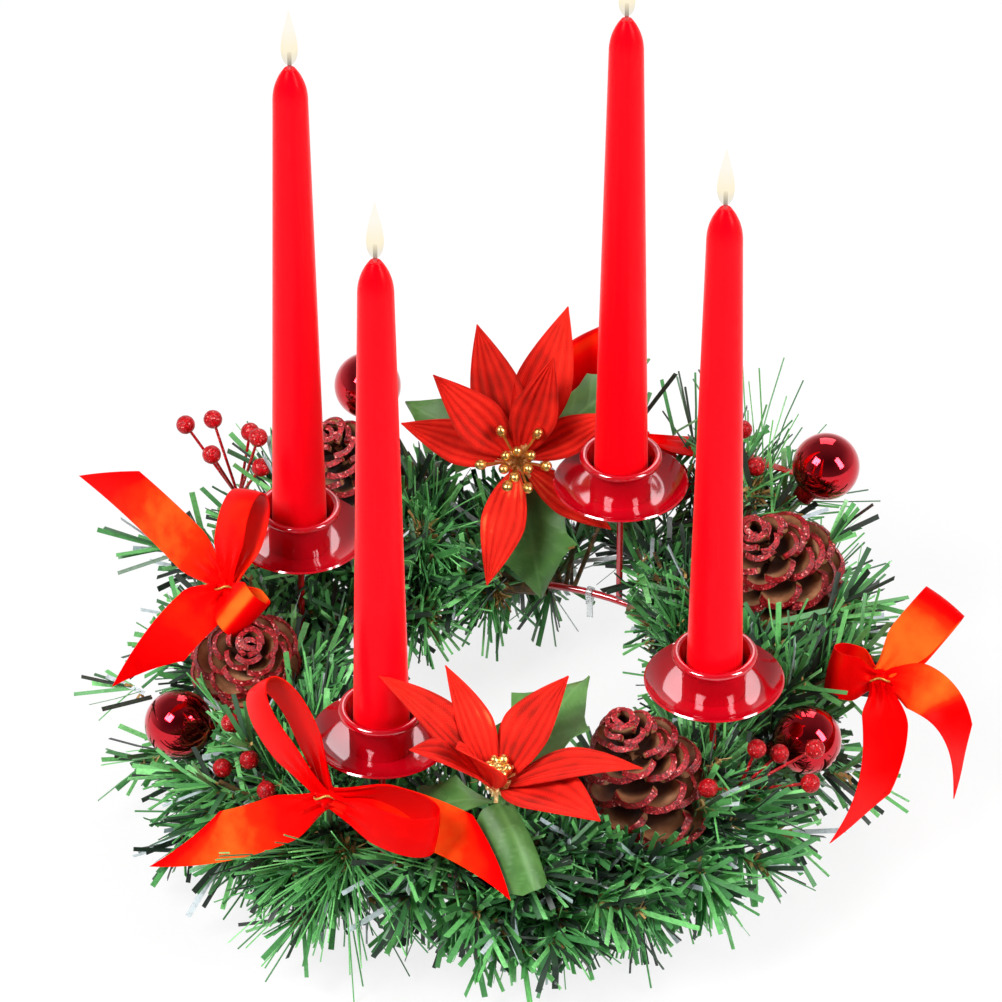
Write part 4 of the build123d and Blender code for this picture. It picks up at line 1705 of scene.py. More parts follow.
    def core(self, first: float, last: float) -> Blank:
        """The bound core of one length, spun round the middle of the wreath.

        Args:
            first: Ring angle where it starts.
            last: Ring angle where it ends.

        Returns:
            Its points and faces.
        """
        deselect()
        bpy.ops.mesh.primitive_circle_add(
            vertices=self.core_sides,
            radius=self.core_radius * MM,
            location=Vector(around(first, 0, 0)) * MM,
            rotation=(math.pi / 2, 0, math.radians(first)),
            fill_type="NOTHING",
        )
        bpy.ops.object.transform_apply(location=True, rotation=True)
        spin_all(self.core_steps, math.radians(first - last))
        points, faces = take(bpy.context.object)
        return points / MM, faces


@dataclass
class LongNeedleTuft:
    """A tuft of long round needles with a tan heart."""

    name: str
    place: Reach
    facing: Reach
    count: int = 130
    length: Span = (34.0, 60.0)
    width: float = 0.45
    spread: float = 0.95
    root: float = 2.0
    tone: Span = (0.25, 0.93)
    stem: float = 1.8
    bits: int = 90
    bit_root: float = 1.5
    bit_width: Span = (0.5, 1.1)
    bit_thick: float = 0.4
    bit_length: Span = (3.0, 9.0)
    bit_bend: float = 0.3

    def build(self, palette: Palette, room: Room) -> None:
        """Make the tuft as one piece.

        Args:
            palette: The materials.
            room: Spaces that stay clear.
        """
        rng = np.random.default_rng(SEED + len(self.name))
        blank = strip_blank(2)
        middle = around(*self.place)
        way = unit(unit(np.array(self.facing)) + rng.normal(0, self.spread, (self.count, 3)))
        root = middle + rng.normal(0, self.root, (self.count, 3))
        sizes = sized(rng, self.count, (self.width, self.width), self.width, self.length)
        needle, keep = cleared(blank, root, way, sizes, room, rng)
        foot = around(self.place[0], 0, 0)
        rise = middle - foot
        size = np.array(((self.stem, self.stem, float(np.linalg.norm(rise))),))
        stem = strips(blank, foot[None, :], unit(rise)[None, :], size, rng)
        way = unit(rng.normal(0, 1, (self.bits, 3)) + np.array(self.facing))
        root = middle + rng.normal(0, self.bit_root, (self.bits, 3))
        sizes = sized(rng, self.bits, self.bit_width, self.bit_thick, self.bit_length)
        heart = strips(blank, root, way, sizes, rng, self.bit_bend)
        points, faces, marks = joined(needle, heart, stem)
        points[:, 2] = np.maximum(points[:, 2], FLOOR_GAP)
        needle_tones = rng.uniform(*self.tone, keep.sum())
        tones = np.concatenate((needle_tones, rng.uniform(0, 1, self.bits), (0.0,)))
        materials = [palette.needle, palette.heart, palette.twig]
        values = {"shade": np.repeat(tones, len(blank[0]))}
        name = f"long_needles_{self.name}"
        piece = make_piece(name, points, faces, materials, marks, values=values)
        settle(piece, "pine_needle")


@dataclass
class Bauble:
    """Plated ball with a crimped cap and a wire eye."""

    name: str
    place: Reach
    root_angle: float
    width: float = 27.0
    clear: float = 0.6
    view_clear: float = 1.5
    view_length: float = 45.0
    core_side: float = 6.36
    mouth: float = 2.6
    mouth_turn: float = 77.0
    rings: int = 36
    steps: int = 64
    cap_width: float = 8.4
    cap_height: float = 3.5
    cap_overlap: float = 0.75
    cap_wall: float = 0.35
    cap_steps: int = 48
    crimps: int = 12
    crimp: float = 0.05

    def middle(self) -> Points:
        """Centre of the ball."""
        return around(*self.place)

    def inward(self) -> Points:
        """Direction from the ball to its wire's foot on the core.

        Returns:
            The unit direction.
        """
        middle = self.middle()
        turn = math.atan2(middle[2] - RING_HEIGHT, math.hypot(*middle[:2]) - RING_RADIUS)
        out, up = self.core_side * math.cos(turn), self.core_side * math.sin(turn)
        return unit(around(self.root_angle, out, up) - middle)

    def reserve(self, room: Room) -> None:
        """Keep needles out of the ball and from before it."""
        room.capsules.append(Capsule(self.middle(), self.middle(), self.width / 2 + self.clear))
        room.shield(self.middle(), self.width / 2 + self.view_clear, self.view_length)

    def build(self, palette: Palette) -> None:
        """Turn the ball and its cap, and seat them.

        Args:
            palette: The materials.
        """
        half, mouth = self.width / 2, self.mouth
        turns = np.radians(np.linspace(-90.0, self.mouth_turn, self.rings))
        ball = [(half * math.cos(t), half * math.sin(t)) for t in turns]
        ball[0] = (0.0, -half)
        ball += [(mouth, half - 0.4), (mouth, half - 1.6), (0.0, half - 1.6)]
        piece = lathe(f"ball_{self.name}", ball, self.steps)
        self.seat(piece, palette.ball)
        settle(piece, "bauble_lacquer", f"bauble_{self.name}")
        radius, skirt, top = self.cap_width / 2, half - self.cap_overlap, half + self.cap_height
        skirt_line = [(radius, skirt - 0.4), (radius + 0.35, skirt), (radius, skirt + 0.5)]
        crown_line = [(radius - 0.25, top - 0.8), (radius - 0.9, top - 0.1), (0.0, top)]
        cap = lathe(f"cap_{self.name}", skirt_line + crown_line, self.cap_steps)
        for vertex in cap.data.vertices:
            turn = math.atan2(vertex.co.y, vertex.co.x)
            low = 1.0 - (vertex.co.z / MM - skirt + 0.4) / (top - skirt)
            swell = 1.0 + self.crimp * low * math.cos(self.crimps * turn)
            vertex.co.x *= swell
            vertex.co.y *= swell
        apply_modifier(cap, "SOLIDIFY", thickness=self.cap_wall * MM, offset=-1.0)
        self.seat(cap, palette.cap)
        settle(cap, "cap_metal", "bauble_caps")

    def seat(self, piece: Piece, material: Material) -> None:
        """Move a turned piece onto the bauble's axis.

        Args:
            piece: The piece.
            material: Its finish.
        """
        turn = Vector(self.inward()).to_track_quat("Z", "Y").to_matrix().to_4x4()
        piece.data.transform(Matrix.Translation(Vector(self.middle()) * MM) @ turn)
        piece.data.materials.append(material)


@dataclass
class PineCone:
    """Open cone: cupped scales in a spiral on a core, glitter on their rims."""

    name: str
    place: Reach
    way: Reach
    size: float = 1.0
    length: float = 52.0
    clear_ends: Span = (12.0, 20.0)
    clear_radius: float = 20.0
    core_clear: float = 10.0
    view_shares: Reach = (0.3, 0.6, 0.9)
    view_clear: float = 17.0
    view_length: float = 40.0
    scales: int = 42
    scale_swing: Span = (0.9, 1.08)
    scale_root: float = 1.5
    scale_grid: tuple[int, int] = (7, 6)
    root_half: float = 0.14
    blade_half: float = 0.29
    corner: float = 0.22
    cup: float = 0.12
    upturn: float = 0.14
    root_thick: float = 0.35
    blank_thick: float = 1 / 6
    foot_level: float = 2.0
    tip_drop: float = 10.0
    foot_reach: float = 23.0
    tip_reach: float = 9.0
    foot_rise: float = -6.0
    tip_rise: float = 78.0
    rise_stray: float = 6.0
    spin_stray: float = 5.0
    rim_thick: float = 2.3
    golden_turn: float = 137.508
    core_radius: float = 5.2
    core_tip: float = 0.5
    core_side: float = 0.72
    core_drop: float = 5.0
    core_red: Span = (0.70, 0.80)

    def axis(self) -> tuple[Points, Points]:
        """Foot of the cone and its direction."""
        along = unit(np.array(self.way))
        return around(*self.place) - along * (self.size * self.length / 2), along

    def reserve(self, room: Room) -> None:
        """Keep needles out of the cone and from before its upper part.

        Args:
            room: Spaces that stay clear.
        """
        foot, along = self.axis()
        length = self.size * self.length
        low, high = foot + along * self.clear_ends[0], foot + along * (length - self.clear_ends[1])
        room.capsules.append(Capsule(low, high, self.clear_radius * self.size))
        room.capsules.append(Capsule(foot, foot + along * length, self.core_clear))
        for share in self.view_shares:
            middle = foot + along * length * share
            room.shield(middle, self.view_clear * self.size, self.view_length)

    def scale_blank(self) -> tuple[Blank, Points]:
        """One cupped scale of unit length along X with a thick rounded rim.

        Returns:
            Its points and faces, and how near each point is to the rim (1) or the root (-1).
        """
        piece, share, side = cloth_grid("scale_blank", *self.scale_grid)
        half = self.root_half + self.blade_half * ease(share, 0.05, 0.70)
        reach = share - self.corner * np.abs(side) ** 2.4 * ease(share, 0.35, 1.0)
        edge = ease(np.abs(side), 0.62, 1.0) * ease(share, 0.5, 0.8)
        rim = np.maximum(ease(share, 0.80, 1.0), edge)
        lift = self.cup * side**2 * ease(share, 0.2, 0.8) + self.upturn * share**2
        points = np.stack((reach, side * half, lift), axis=1)
        piece.data.vertices.foreach_set("co", points.astype(np.float32).ravel())
        group = piece.vertex_groups.new(name="rim")
        for index, value in enumerate(rim):
            weight = self.root_thick + (1 - self.root_thick) * value
            group.add([index], float(weight), "REPLACE")
        thick = self.blank_thick
        apply_modifier(piece, "SOLIDIFY", thickness=thick, offset=0.0, vertex_group="rim")
        # The value falls below zero towards the root, where the material paints shade.
        return take(piece), np.tile(rim - 1 + ease(share, 0.50, 0.88), 2)

    def build(self, palette: Palette) -> None:
        """Set the scales round the core.

        Args:
            palette: The materials.
        """
        blank, rim = self.scale_blank()
        rng = np.random.default_rng(SEED + len(self.name) * 7)
        foot, along = self.axis()
        turn = np.array(Vector(along).to_track_quat("Z", "Y").to_matrix())
        count = self.scales
        share = (np.arange(count) + 0.5) / count
        level = self.foot_level + (self.length - self.tip_drop) * share**0.95
        reach = self.foot_reach + (self.tip_reach - self.foot_reach) * share**1.7
        reach = reach * rng.uniform(*self.scale_swing, count)
        rise = self.foot_rise + self.tip_rise * share**2.2
        rise = np.radians(rise + rng.normal(0, self.rise_stray, count))
        spin = self.golden_turn * np.arange(count)
        spin = np.radians(spin + rng.normal(0, self.spin_stray, count))
        width = reach * (0.95 - 0.05 * share) * rng.uniform(*self.scale_swing, count)
        zero = np.zeros(count)
        outward = np.stack((np.cos(spin), np.sin(spin), zero), axis=1)
        sideways = np.stack((-np.sin(spin), np.cos(spin), zero), axis=1)
        cos, sin = np.cos(rise)[:, None], np.sin(rise)[:, None]
        frames = np.stack((outward * cos + UP * sin, sideways, UP * cos - outward * sin), axis=1)
        root = np.stack((zero, zero, level), axis=1) + outward * self.scale_root
        thick = zero + self.rim_thick / self.blank_thick
        sizes = np.stack((reach - self.scale_root, width, thick), axis=1)
        core = self.core_blank()
        points, faces, _ = joined(copies(blank, root, frames, sizes, zero), core)
        points = foot + self.size * points @ turn.T
        core_rim = ease(core[0][:, 2] / self.length, *self.core_red)
        values = {"rim": np.concatenate((np.tile(rim, count), core_rim))}
        name = f"cone_{self.name}"
        piece = make_piece(name, points, faces, [palette.scale], smooth=True, values=values)
        soften(piece, SCALE_EDGE)
        settle(piece, "cone_wood", f"pine_cone_{self.name}")

    def core_blank(self) -> Blank:
        """Tapering core that the scales grow from.

        Returns:
            Its points and faces.
        """
        points, faces = strip_blank(8)
        radius = self.core_radius * (1.0 - points[:, 2]) ** 0.7 + self.core_tip
        flat = points[:, :2] / 0.5 * radius[:, None] * self.core_side
        height = points[:, 2] * (self.length - self.core_drop) + self.core_tip
        return np.column_stack((flat, height)), faces


@dataclass(frozen=True)
class Blade:
    """One cloth petal or leaf: azimuth, rise, length, width, arch and curl under."""

    azimuth: float
    rise: float
    length: float
    width: float
    arch: float = 0.05
    curl: float = 0.0


LEAF_STEPS = (0.0, 0.06, 0.16, 0.27, 0.36, 0.39, 0.46, 0.55, 0.64, 0.67, 0.72, 0.80, 0.90, 1.0)
LEAF_EDGE = (0.06, 0.08, 0.17, 0.30, 0.50, 0.43, 0.36, 0.36, 0.45, 0.36, 0.28, 0.20, 0.10, 0.012)
CURLED_STEPS = (0.0, 0.10, 0.30, 0.80, 0.88, 1.0)
CURLED_EDGE = (0.20, 0.42, 0.48, 0.50, 0.40, 0.16)


@dataclass
class Flower:
    """Cloth poinsettia: pleated petals, lobed leaves under them and gold stamens."""

    name: str
    place: Reach
    tilt: float
    petals: tuple[Blade, ...]
    leaves: tuple[Blade, ...]
    stamen_rise: Span
    stamen_length: Span
    clear_lifts: Span = (0.0, 0.3)
    clear_tip: float = 3.0
    clear_share: float = 0.36
    cloth: float = 0.4
    petal_root: float = 3.0
    petal_grid: tuple[int, int] = (34, 20)
    neck: float = 0.2
    least_half: Span = (2.4, 0.15)
    widest: float = 0.48
    keel: float = 15.0
    pleats: float = 2.6
    pleat_height: float = 0.42
    pleat_take: float = 1.12
    pleat_phase: float = 0.7
    pleat_drift: float = 0.8
    twist: float = 14.0
    droop: Span = (0.02, 0.10)
    # Base, swing and random offset of the pleat value: painted shade in the pleats, painted highlight on the
    # ridges.
    painted_pleat_light: Span = (0.54, 0.20)
    painted_pleat_light_swing: Span = (-0.20, 0.16)
    leaf_drop: float = 8.4
    leaf_grid: tuple[int, int] = (50, 16)
    leaf_keel: float = 11.0
    leaf_wave: float = 0.035
    leaf_droop: float = 0.10
    vein_half: float = 0.8
    vein_step: float = 9.0
    vein_height: float = 0.25
    stamens: int = 12
    stamen_turn: float = 13.0
    stamen_lean: float = 9.0
    stamen_swing: Span = (0.85, 1.1)
    stamen_foot: float = 1.0
    stalk: float = 0.8
    bead: Reach = (4.3, 4.3, 5.6)
    lump: float = 8.5
    crumple: float = 0.35
    crumple_waves: tuple[Reach, Reach] = ((17.0, 5.0, 9.0), (-7.0, 19.0, 11.0))
    film_strips: int = 40
    film_lean: float = 0.9
    film_stray: float = 0.6
    film_width: Span = (1.0, 2.4)
    film_thick: float = 0.25
    film_length: Span = (4.0, 9.0)
    film_bend: float = 0.3

    def middle(self) -> Points:
        """Middle of the petals' hub."""
        return around(*self.place)

    def directions(self, blade: Blade) -> tuple[Points, Points, Points, Points]:
        """Directions of a petal or leaf.

        Args:
            blade: The petal or leaf.

        Returns:
            Its outward, lengthwise, upper and sideways directions.
        """
        face = tilted(self.tilt)
        turn, rise = math.radians(blade.azimuth), math.radians(blade.rise)
        outward = RIGHT * math.cos(turn) + np.cross(face, RIGHT) * math.sin(turn)
        along = outward * math.cos(rise) + face * math.sin(rise)
        upper = face * math.cos(rise) - outward * math.sin(rise)
        return outward, along, upper, np.cross(upper, along)

    def reserve(self, room: Room) -> None:
        """Keep needles off the petals and leaves.

        Args:
            room: Spaces that stay clear.
        """
        face = tilted(self.tilt)
        for blades, drop in ((self.petals, 0.0), (self.leaves, self.leaf_drop)):
            for blade in blades:
                _, along, upper, _ = self.directions(blade)
                run = along * (blade.length - self.clear_tip)
                for lift in self.clear_lifts:
                    start = self.middle() - face * drop + upper * blade.width * lift
                    radius = blade.width * self.clear_share
                    room.capsules.append(Capsule(start, start + run, radius))

    def build(self, palette: Palette) -> None:
        """Make the petals, the leaves and the heart.

        Args:
            palette: The materials.
        """
        for number, blade in enumerate(self.petals, start=1):
            self.petal(number, blade, palette)
        for number, blade in enumerate(self.leaves, start=1):
            self.leaf(number, blade, palette)
        self.heart(palette)

    def laid(
        self, root: Points, blade: Blade, share: Points, offset: Points, lift: Points
    ) -> Points:
        """Points of a petal or leaf from their places along it, across it and above it.

        Args:
            root: Its foot.
            blade: Its place and size.
            share: Share of its length at each point.
            offset: Millimetres sideways at each point.
            lift: Millimetres above its straight run at each point.

        Returns:
            The points in millimetres.
        """
        _, along, upper, sideways = self.directions(blade)
        run = along * (share * blade.length)[:, None]
        return root + run + sideways * offset[:, None] + upper * lift[:, None]

    def petal(self, number: int, blade: Blade, palette: Palette) -> None:
        """One pleated petal.

        Args:
            number: Number of the petal.
            blade: Its place and size.
            palette: The materials.
        """
        rng = np.random.default_rng(SEED + 31 * number + len(self.name))
        root = self.middle() + self.directions(blade)[0] * self.petal_root
        piece, share, side = cloth_grid(f"petal_{self.name}_{number}", *self.petal_grid)
        growing = np.sin(np.pi / 2 * np.clip(share / self.widest, 0, 1)) ** 0.75
        ending = 1 - np.clip((share - self.widest) / (1 - self.widest), 0, 1) ** 1.4
        swell = np.where(share < self.widest, growing, ending)
        half = np.maximum(blade.width / 2 * swell, np.where(share < self.neck, *self.least_half))
        phase = rng.uniform(-self.pleat_phase, self.pleat_phase)
        phase = phase + rng.uniform(-self.pleat_drift, self.pleat_drift) * share
        wave = np.cos(2 * np.pi * self.pleats * side + phase) * np.sqrt(np.clip(swell, 0, 1))
        keel = np.abs(side) * half * math.tan(math.radians(self.keel))
        lift = keel + self.pleat_height * wave * ease(share, 0.0, self.neck)
        turn = math.radians(rng.uniform(-self.twist, self.twist)) * share
        offset = side * half * np.cos(turn) - lift * np.sin(turn)
        lift = lift * np.cos(turn) + side * half * np.sin(turn)
        droop = rng.uniform(*self.droop) * blade.length * share**3
        lift = lift + blade.arch * blade.length * np.sin(np.pi * share) - droop
        # The pleat value follows the pleat wave: painted shade in its troughs, painted highlight on its crests.
        painted_pleat_light = self.painted_pleat_light[0] + self.painted_pleat_light[1] * wave + rng.uniform(*self.painted_pleat_light_swing)
        add_value(piece, "painted_pleat_light", painted_pleat_light)
        points = self.laid(root, blade, share, offset, lift)
        lay_cloth(piece, points, self.cloth, palette.petal)
        settle(piece, "petal_cloth", f"poinsettia_{self.name}_petals")

    @staticmethod
    def flat_area(blade: Blade, half: Points, share: Points) -> float:
        """Area of a petal or leaf laid flat.

        Args:
            blade: The petal or leaf.
            half: Half width at each point.
            share: Share of the length at each point.

        Returns:
            The area in square metres.
        """
        places, first = np.unique(np.round(share, 5), return_index=True)
        return 2 * float(np.trapz(half[first], places * blade.length)) * MM * MM

    def leaf(self, number: int, blade: Blade, palette: Palette) -> None:
        """One lobed leaf with a midrib, or one that is curled under along its sides.

        Args:
            number: Number of the leaf.
            blade: Its place and size.
            palette: The materials.
        """
        root = self.middle() - tilted(self.tilt) * self.leaf_drop
        piece, share, side = cloth_grid(f"leaf_{self.name}_{number}", *self.leaf_grid)
        steps, edge = (CURLED_STEPS, CURLED_EDGE) if blade.curl else (LEAF_STEPS, LEAF_EDGE)
        half = np.interp(share, steps, edge) * blade.width
        if blade.curl:
            radius = blade.width * 0.5 / math.radians(blade.curl)
            offset = radius * np.sin(side * half / radius)
            lift = radius * (np.cos(side * half / radius) - 1.0)
        else:
            offset = side * half
            lift = np.abs(side) * half * math.tan(math.radians(self.leaf_keel))
            lift = lift + self.leaf_wave * blade.width * np.sin(share * 9.0 + side * 2.0)
        slant = np.abs(side) * half - (share * blade.length)
        veins = 0.6 * ease(np.cos(slant * 2 * np.pi / self.vein_step), 0.86, 1.0)
        vein = np.maximum(1.0 - np.abs(side) * half / self.vein_half, veins)
        droop = self.leaf_droop * blade.length * share**2.5
        lift = lift + blade.arch * blade.length * np.sin(np.pi * share) - droop
        lift = lift + self.vein_height * vein
        add_value(piece, "vein", np.clip(vein, 0, 1))
        points = self.laid(root, blade, share, offset, lift)
        lay_cloth(piece, points, self.cloth, palette.leaf)
        settle(piece, "leaf_cloth", f"poinsettia_{self.name}_leaves")

    def heart(self, palette: Palette) -> None:
        """Gold stamens round a crumpled tuft of gold film.

        Args:
            palette: The materials.
        """
        rng = np.random.default_rng(SEED + len(self.name))
        face = tilted(self.tilt)
        foot = self.middle() + face * self.stamen_foot
        count = self.stamens
        odd = np.arange(count) % 2 == 1
        turn = rng.uniform(-self.stamen_turn, self.stamen_turn, count)
        turn = np.radians(np.arange(count) * 360.0 / count + turn)[:, None]
        rise = np.where(odd, *self.stamen_rise[::-1])
        rise = rise + rng.uniform(-self.stamen_lean, self.stamen_lean, count)
        rise = np.radians(rise)[:, None]
        outward = RIGHT * np.cos(turn) + np.cross(face, RIGHT) * np.sin(turn)
        way = unit(outward * np.cos(rise) + face * np.sin(rise))
        length = np.where(odd, *self.stamen_length[::-1]) * rng.uniform(*self.stamen_swing, count)
        frames = np.stack((*across_of(way), way), axis=1)
        straight = np.zeros(count)
        feet = np.repeat(foot[None, :], count, 0)
        thin = np.full(count, self.stalk)
        sizes = np.stack((thin, thin, length), axis=1)
        stalk = copies(strip_blank(4), feet, frames, sizes, straight)
        ends = foot + way * length[:, None]
        beads = copies(ball_blank(5, 2), ends, frames, np.tile(self.bead, (count, 1)), straight)
        lump, lump_faces = ball_blank(11, 2)
        first, second = self.crumple_waves
        crumple = 1.0 + self.crumple * np.sin(lump @ first) * np.cos(lump @ second)
        lump = foot + (lump * crumple[:, None]) * self.lump
        count = self.film_strips
        way = unit(face * self.film_lean + rng.normal(0, self.film_stray, (count, 3)))
        sizes = sized(rng, count, self.film_width, self.film_thick, self.film_length)
        feet = np.repeat(foot[None, :], count, 0)
        film = strips(strip_blank(2), feet, way, sizes, rng, self.film_bend)
        points, faces, marks = joined(stalk, beads, (lump, lump_faces), film)
        materials = [palette.thread, palette.gold, palette.gold_film, palette.gold_film]
        piece = make_piece(f"stamens_{self.name}", points, faces, materials, marks, smooth=True)
        soften(piece, CLOTH_EDGE)
        settle(piece, "stamen_gold", f"poinsettia_{self.name}_stamens")


@dataclass(frozen=True)
class Loop:
    """A bow's loop: where its end is from the knot, its end's radius and its roll about its run."""

    end: Reach
    bulge: float
    roll: float = 0.0


@dataclass(frozen=True)
class Tail:
    """A bow's trailing end: its tip from the knot, how its middle bows, its rolls and its cut."""

    tip: Reach
    bow: Reach = (0.0, 0.0, 0.0)
    rolls: Span = (0.0, 0.0)
    slant: float = 0.36


@dataclass
class Bow:
    """Satin bow: loops and trailing ends gathered under a knot with gold thread."""

    name: str
    place: Reach
    loops: tuple[Loop, ...]
    tails: tuple[Tail, ...]
    width: float = 19.0
    cloth: float = 0.45
    grid: tuple[int, int] = (64, 12)
    tilt: float = 53.0
    gather: float = 0.42
    crease: float = 2.2
    creases: float = 2.5
    belly: float = 0.6
    area_share: float = 0.93
    # Band of facing towards the key lamp that gets the painted highlight, and the shares of a tail between which
    # the painted light fades out.
    painted_light_facing: Span = (0.72, 0.98)
    painted_light_ends: Span = (0.04, 0.96)
    loop_steps: int = 97
    loop_swell: float = 1.25
    loop_lean: float = 0.10
    tail_steps: int = 80
    knot_size: Reach = (9.5, 8.0, 6.5)
    knot_crease: float = 0.10
    knot_creases: float = 7.0
    thread_radius: float = 4.9
    thread_half: float = 0.45
    thread_squash: float = 0.82
    thread_wave: float = 0.6
    keep_off: float = 9.5
    view_lifts: Span = (0.0, 11.0)

    def knot(self) -> Points:
        """Middle of the knot."""
        return around(*self.place)

    def reserve(self, room: Room) -> None:
        """Keep needles off the ribbon and from before it.

        Args:
            room: Spaces that stay clear.
        """
        for reach in [loop.end for loop in self.loops] + [tail.tip for tail in self.tails]:
            for lift in self.view_lifts:
                start = self.knot() + TO_VIEWER * lift
                room.capsules.append(Capsule(start, start + np.array(reach), self.keep_off))

    def build(self, palette: Palette) -> None:
        """Make the loops, the tails and the knot.

        Args:
            palette: The materials.
        """
        for number, loop in enumerate(self.loops, start=1):
            self.loop(f"bow_{self.name}_loop_{number}", loop, palette)
        for number, tail in enumerate(self.tails, start=1):
            self.tail(f"bow_{self.name}_tail_{number}", tail, palette)
        self.tie(palette)

    def rolled(self, tangent: Points, roll: Points) -> Points:
        """Direction across a ribbon that faces the viewer, rolled about its run.

        Args:
            tangent: Direction of the run at each point.
            roll: Roll in degrees at each point.

        Returns:
            The direction across it at each point.
        """
        across = unit(np.cross(tangent, tilted(self.tilt)))
        turn = np.radians(roll)[:, None]
        return across * np.cos(turn) + np.cross(across, tangent) * np.sin(turn)

    def ribbon(
        self,
        name: str,
        path: Points,
        across: Points,
        pinch: Points,
        slant: float,
        hold: Hold,
        palette: Palette,
    ) -> None:
        """One run of ribbon along a path.

        Args:
            name: Name of the piece.
            path: Points of its middle line, evenly spaced.
            across: Direction across its width at each point.
            pinch: Share of its width at each point.
            slant: Slant of its end as a share of its length; its sign tells the longer edge.
            hold: How it is held.
            palette: The materials.
        """
        piece, share, side = cloth_grid(name, *self.grid)
        steps = np.linspace(0.0, 1.0, len(path))
        cut = abs(slant) * (1.0 - math.copysign(1.0, slant) * side) / 2 * ease(share, 0.45, 1.0)
        place = share * (1.0 - cut)
        facing = unit(np.cross(across, np.gradient(path, axis=0)))

        def along(rows: Points) -> Points:
            """Rows of the path at each point of the grid."""
            return np.stack([np.interp(place, steps, rows[:, axis]) for axis in range(3)], axis=1)

        front = unit(along(facing))
        squeeze = np.interp(place, steps, pinch)
        crease = (1.0 - squeeze) * self.crease * np.cos(side * self.creases * np.pi)
        belly = self.belly * np.cos(side * np.pi / 2)
        points = along(path) + along(across) * (side * squeeze * self.width / 2)[:, None]
        # Painted light: each point's glow is how squarely its face turns to the key lamp, faded towards a
        # trailing end's tips.
        fade = 1.0
        if hold is Hold.TRAILING:
            fade = np.sin(np.pi * np.clip(share, *self.painted_light_ends)) ** 0.8
        add_value(piece, "glow", fade * ease(np.abs(front @ PAINTED_LIGHT_WAY), *self.painted_light_facing))
        points = points + front * (crease + belly)[:, None]
        lay_cloth(piece, points, self.cloth, palette.satin)
        settle(piece, "ribbon_satin", f"ribbon_bow_{self.name}")

    def loop(self, name: str, loop: Loop, palette: Palette) -> None:
        """One loop: out from the knot, round its end and back.

        Args:
            name: Name of the piece.
            loop: Its shape.
            palette: The materials.
        """
        span = float(np.linalg.norm(loop.end))
        along = unit(np.array(loop.end))
        across = self.rolled(along[None, :], np.array([loop.roll]))
        facing = np.cross(across, along)
        turn = np.linspace(0.0, 2 * np.pi, self.loop_steps)
        out = 0.5 - 0.5 * np.cos(turn)
        swell = loop.bulge * np.sin(turn) * out**0.6 * self.loop_swell
        path = self.knot() + along * (span * out)[:, None] + facing * swell[:, None]
        pinch = self.gather + (1 - self.gather) * ease(out, 0.05, 0.5)
        width = unit(across + along * (self.loop_lean * np.sin(turn))[:, None])
        self.ribbon(name, path, width, pinch, 0.0, Hold.LOOPED, palette)

    def tail(self, name: str, tail: Tail, palette: Palette) -> None:
        """One trailing end with a slanted cut.

        Args:
            name: Name of the piece.
            tail: Its shape.
            palette: The materials.
        """
        share = np.linspace(0.0, 1.0, self.tail_steps)
        bowed = np.outer(4 * share * (1 - share), tail.bow)
        path = self.knot() + np.outer(share, tail.tip) + bowed
        tangent = unit(np.gradient(path, axis=0))
        roll = tail.rolls[0] + (tail.rolls[1] - tail.rolls[0]) * ease(share, 0.15, 0.9)
        pinch = self.gather + (1 - self.gather) * ease(share, 0.02, 0.26)
        across = self.rolled(tangent, roll)
        self.ribbon(name, path, across, pinch, tail.slant, Hold.TRAILING, palette)

    def tie(self, palette: Palette) -> None:
        """Gathered knot band with a turn of gold thread.

        Args:
            palette: The materials.
        """
        lump, faces = ball_blank(9, 2)
        turns = np.arctan2(lump[:, 1], lump[:, 0])
        creases = 1.0 + self.knot_crease * np.cos(turns * self.knot_creases)
        turn = np.array(Vector(tilted(self.tilt)).to_track_quat("Z", "Y").to_matrix())
        points = self.knot() + lump * creases[:, None] * np.array(self.knot_size) @ turn.T
        name = f"bow_{self.name}_knot"
        knot = make_piece(name, points, faces, [palette.satin], smooth=True)
        settle(knot, "ribbon_satin", f"ribbon_bow_{self.name}")
        deselect()
        bpy.ops.mesh.primitive_torus_add(
            major_radius=self.thread_radius * MM,
            minor_radius=self.thread_half * MM,
            major_segments=40,
            minor_segments=8,
        )
        thread = bpy.context.object
        thread.name = thread.data.name = f"bow_{self.name}_thread"
        for vertex in thread.data.vertices:
            vertex.co.y *= self.thread_squash
            wave = math.sin(3 * math.atan2(vertex.co.y, vertex.co.x))
            vertex.co.z += self.thread_wave * MM * wave
        stand = Matrix(turn.tolist()).to_4x4() @ Matrix.Rotation(math.pi / 2, 4, "X")
        thread.data.transform(Matrix.Translation(Vector(self.knot()) * MM) @ stand)
        thread.data.materials.append(palette.thread)
        bpy.ops.object.shade_smooth()
        settle(thread, "stamen_gold")


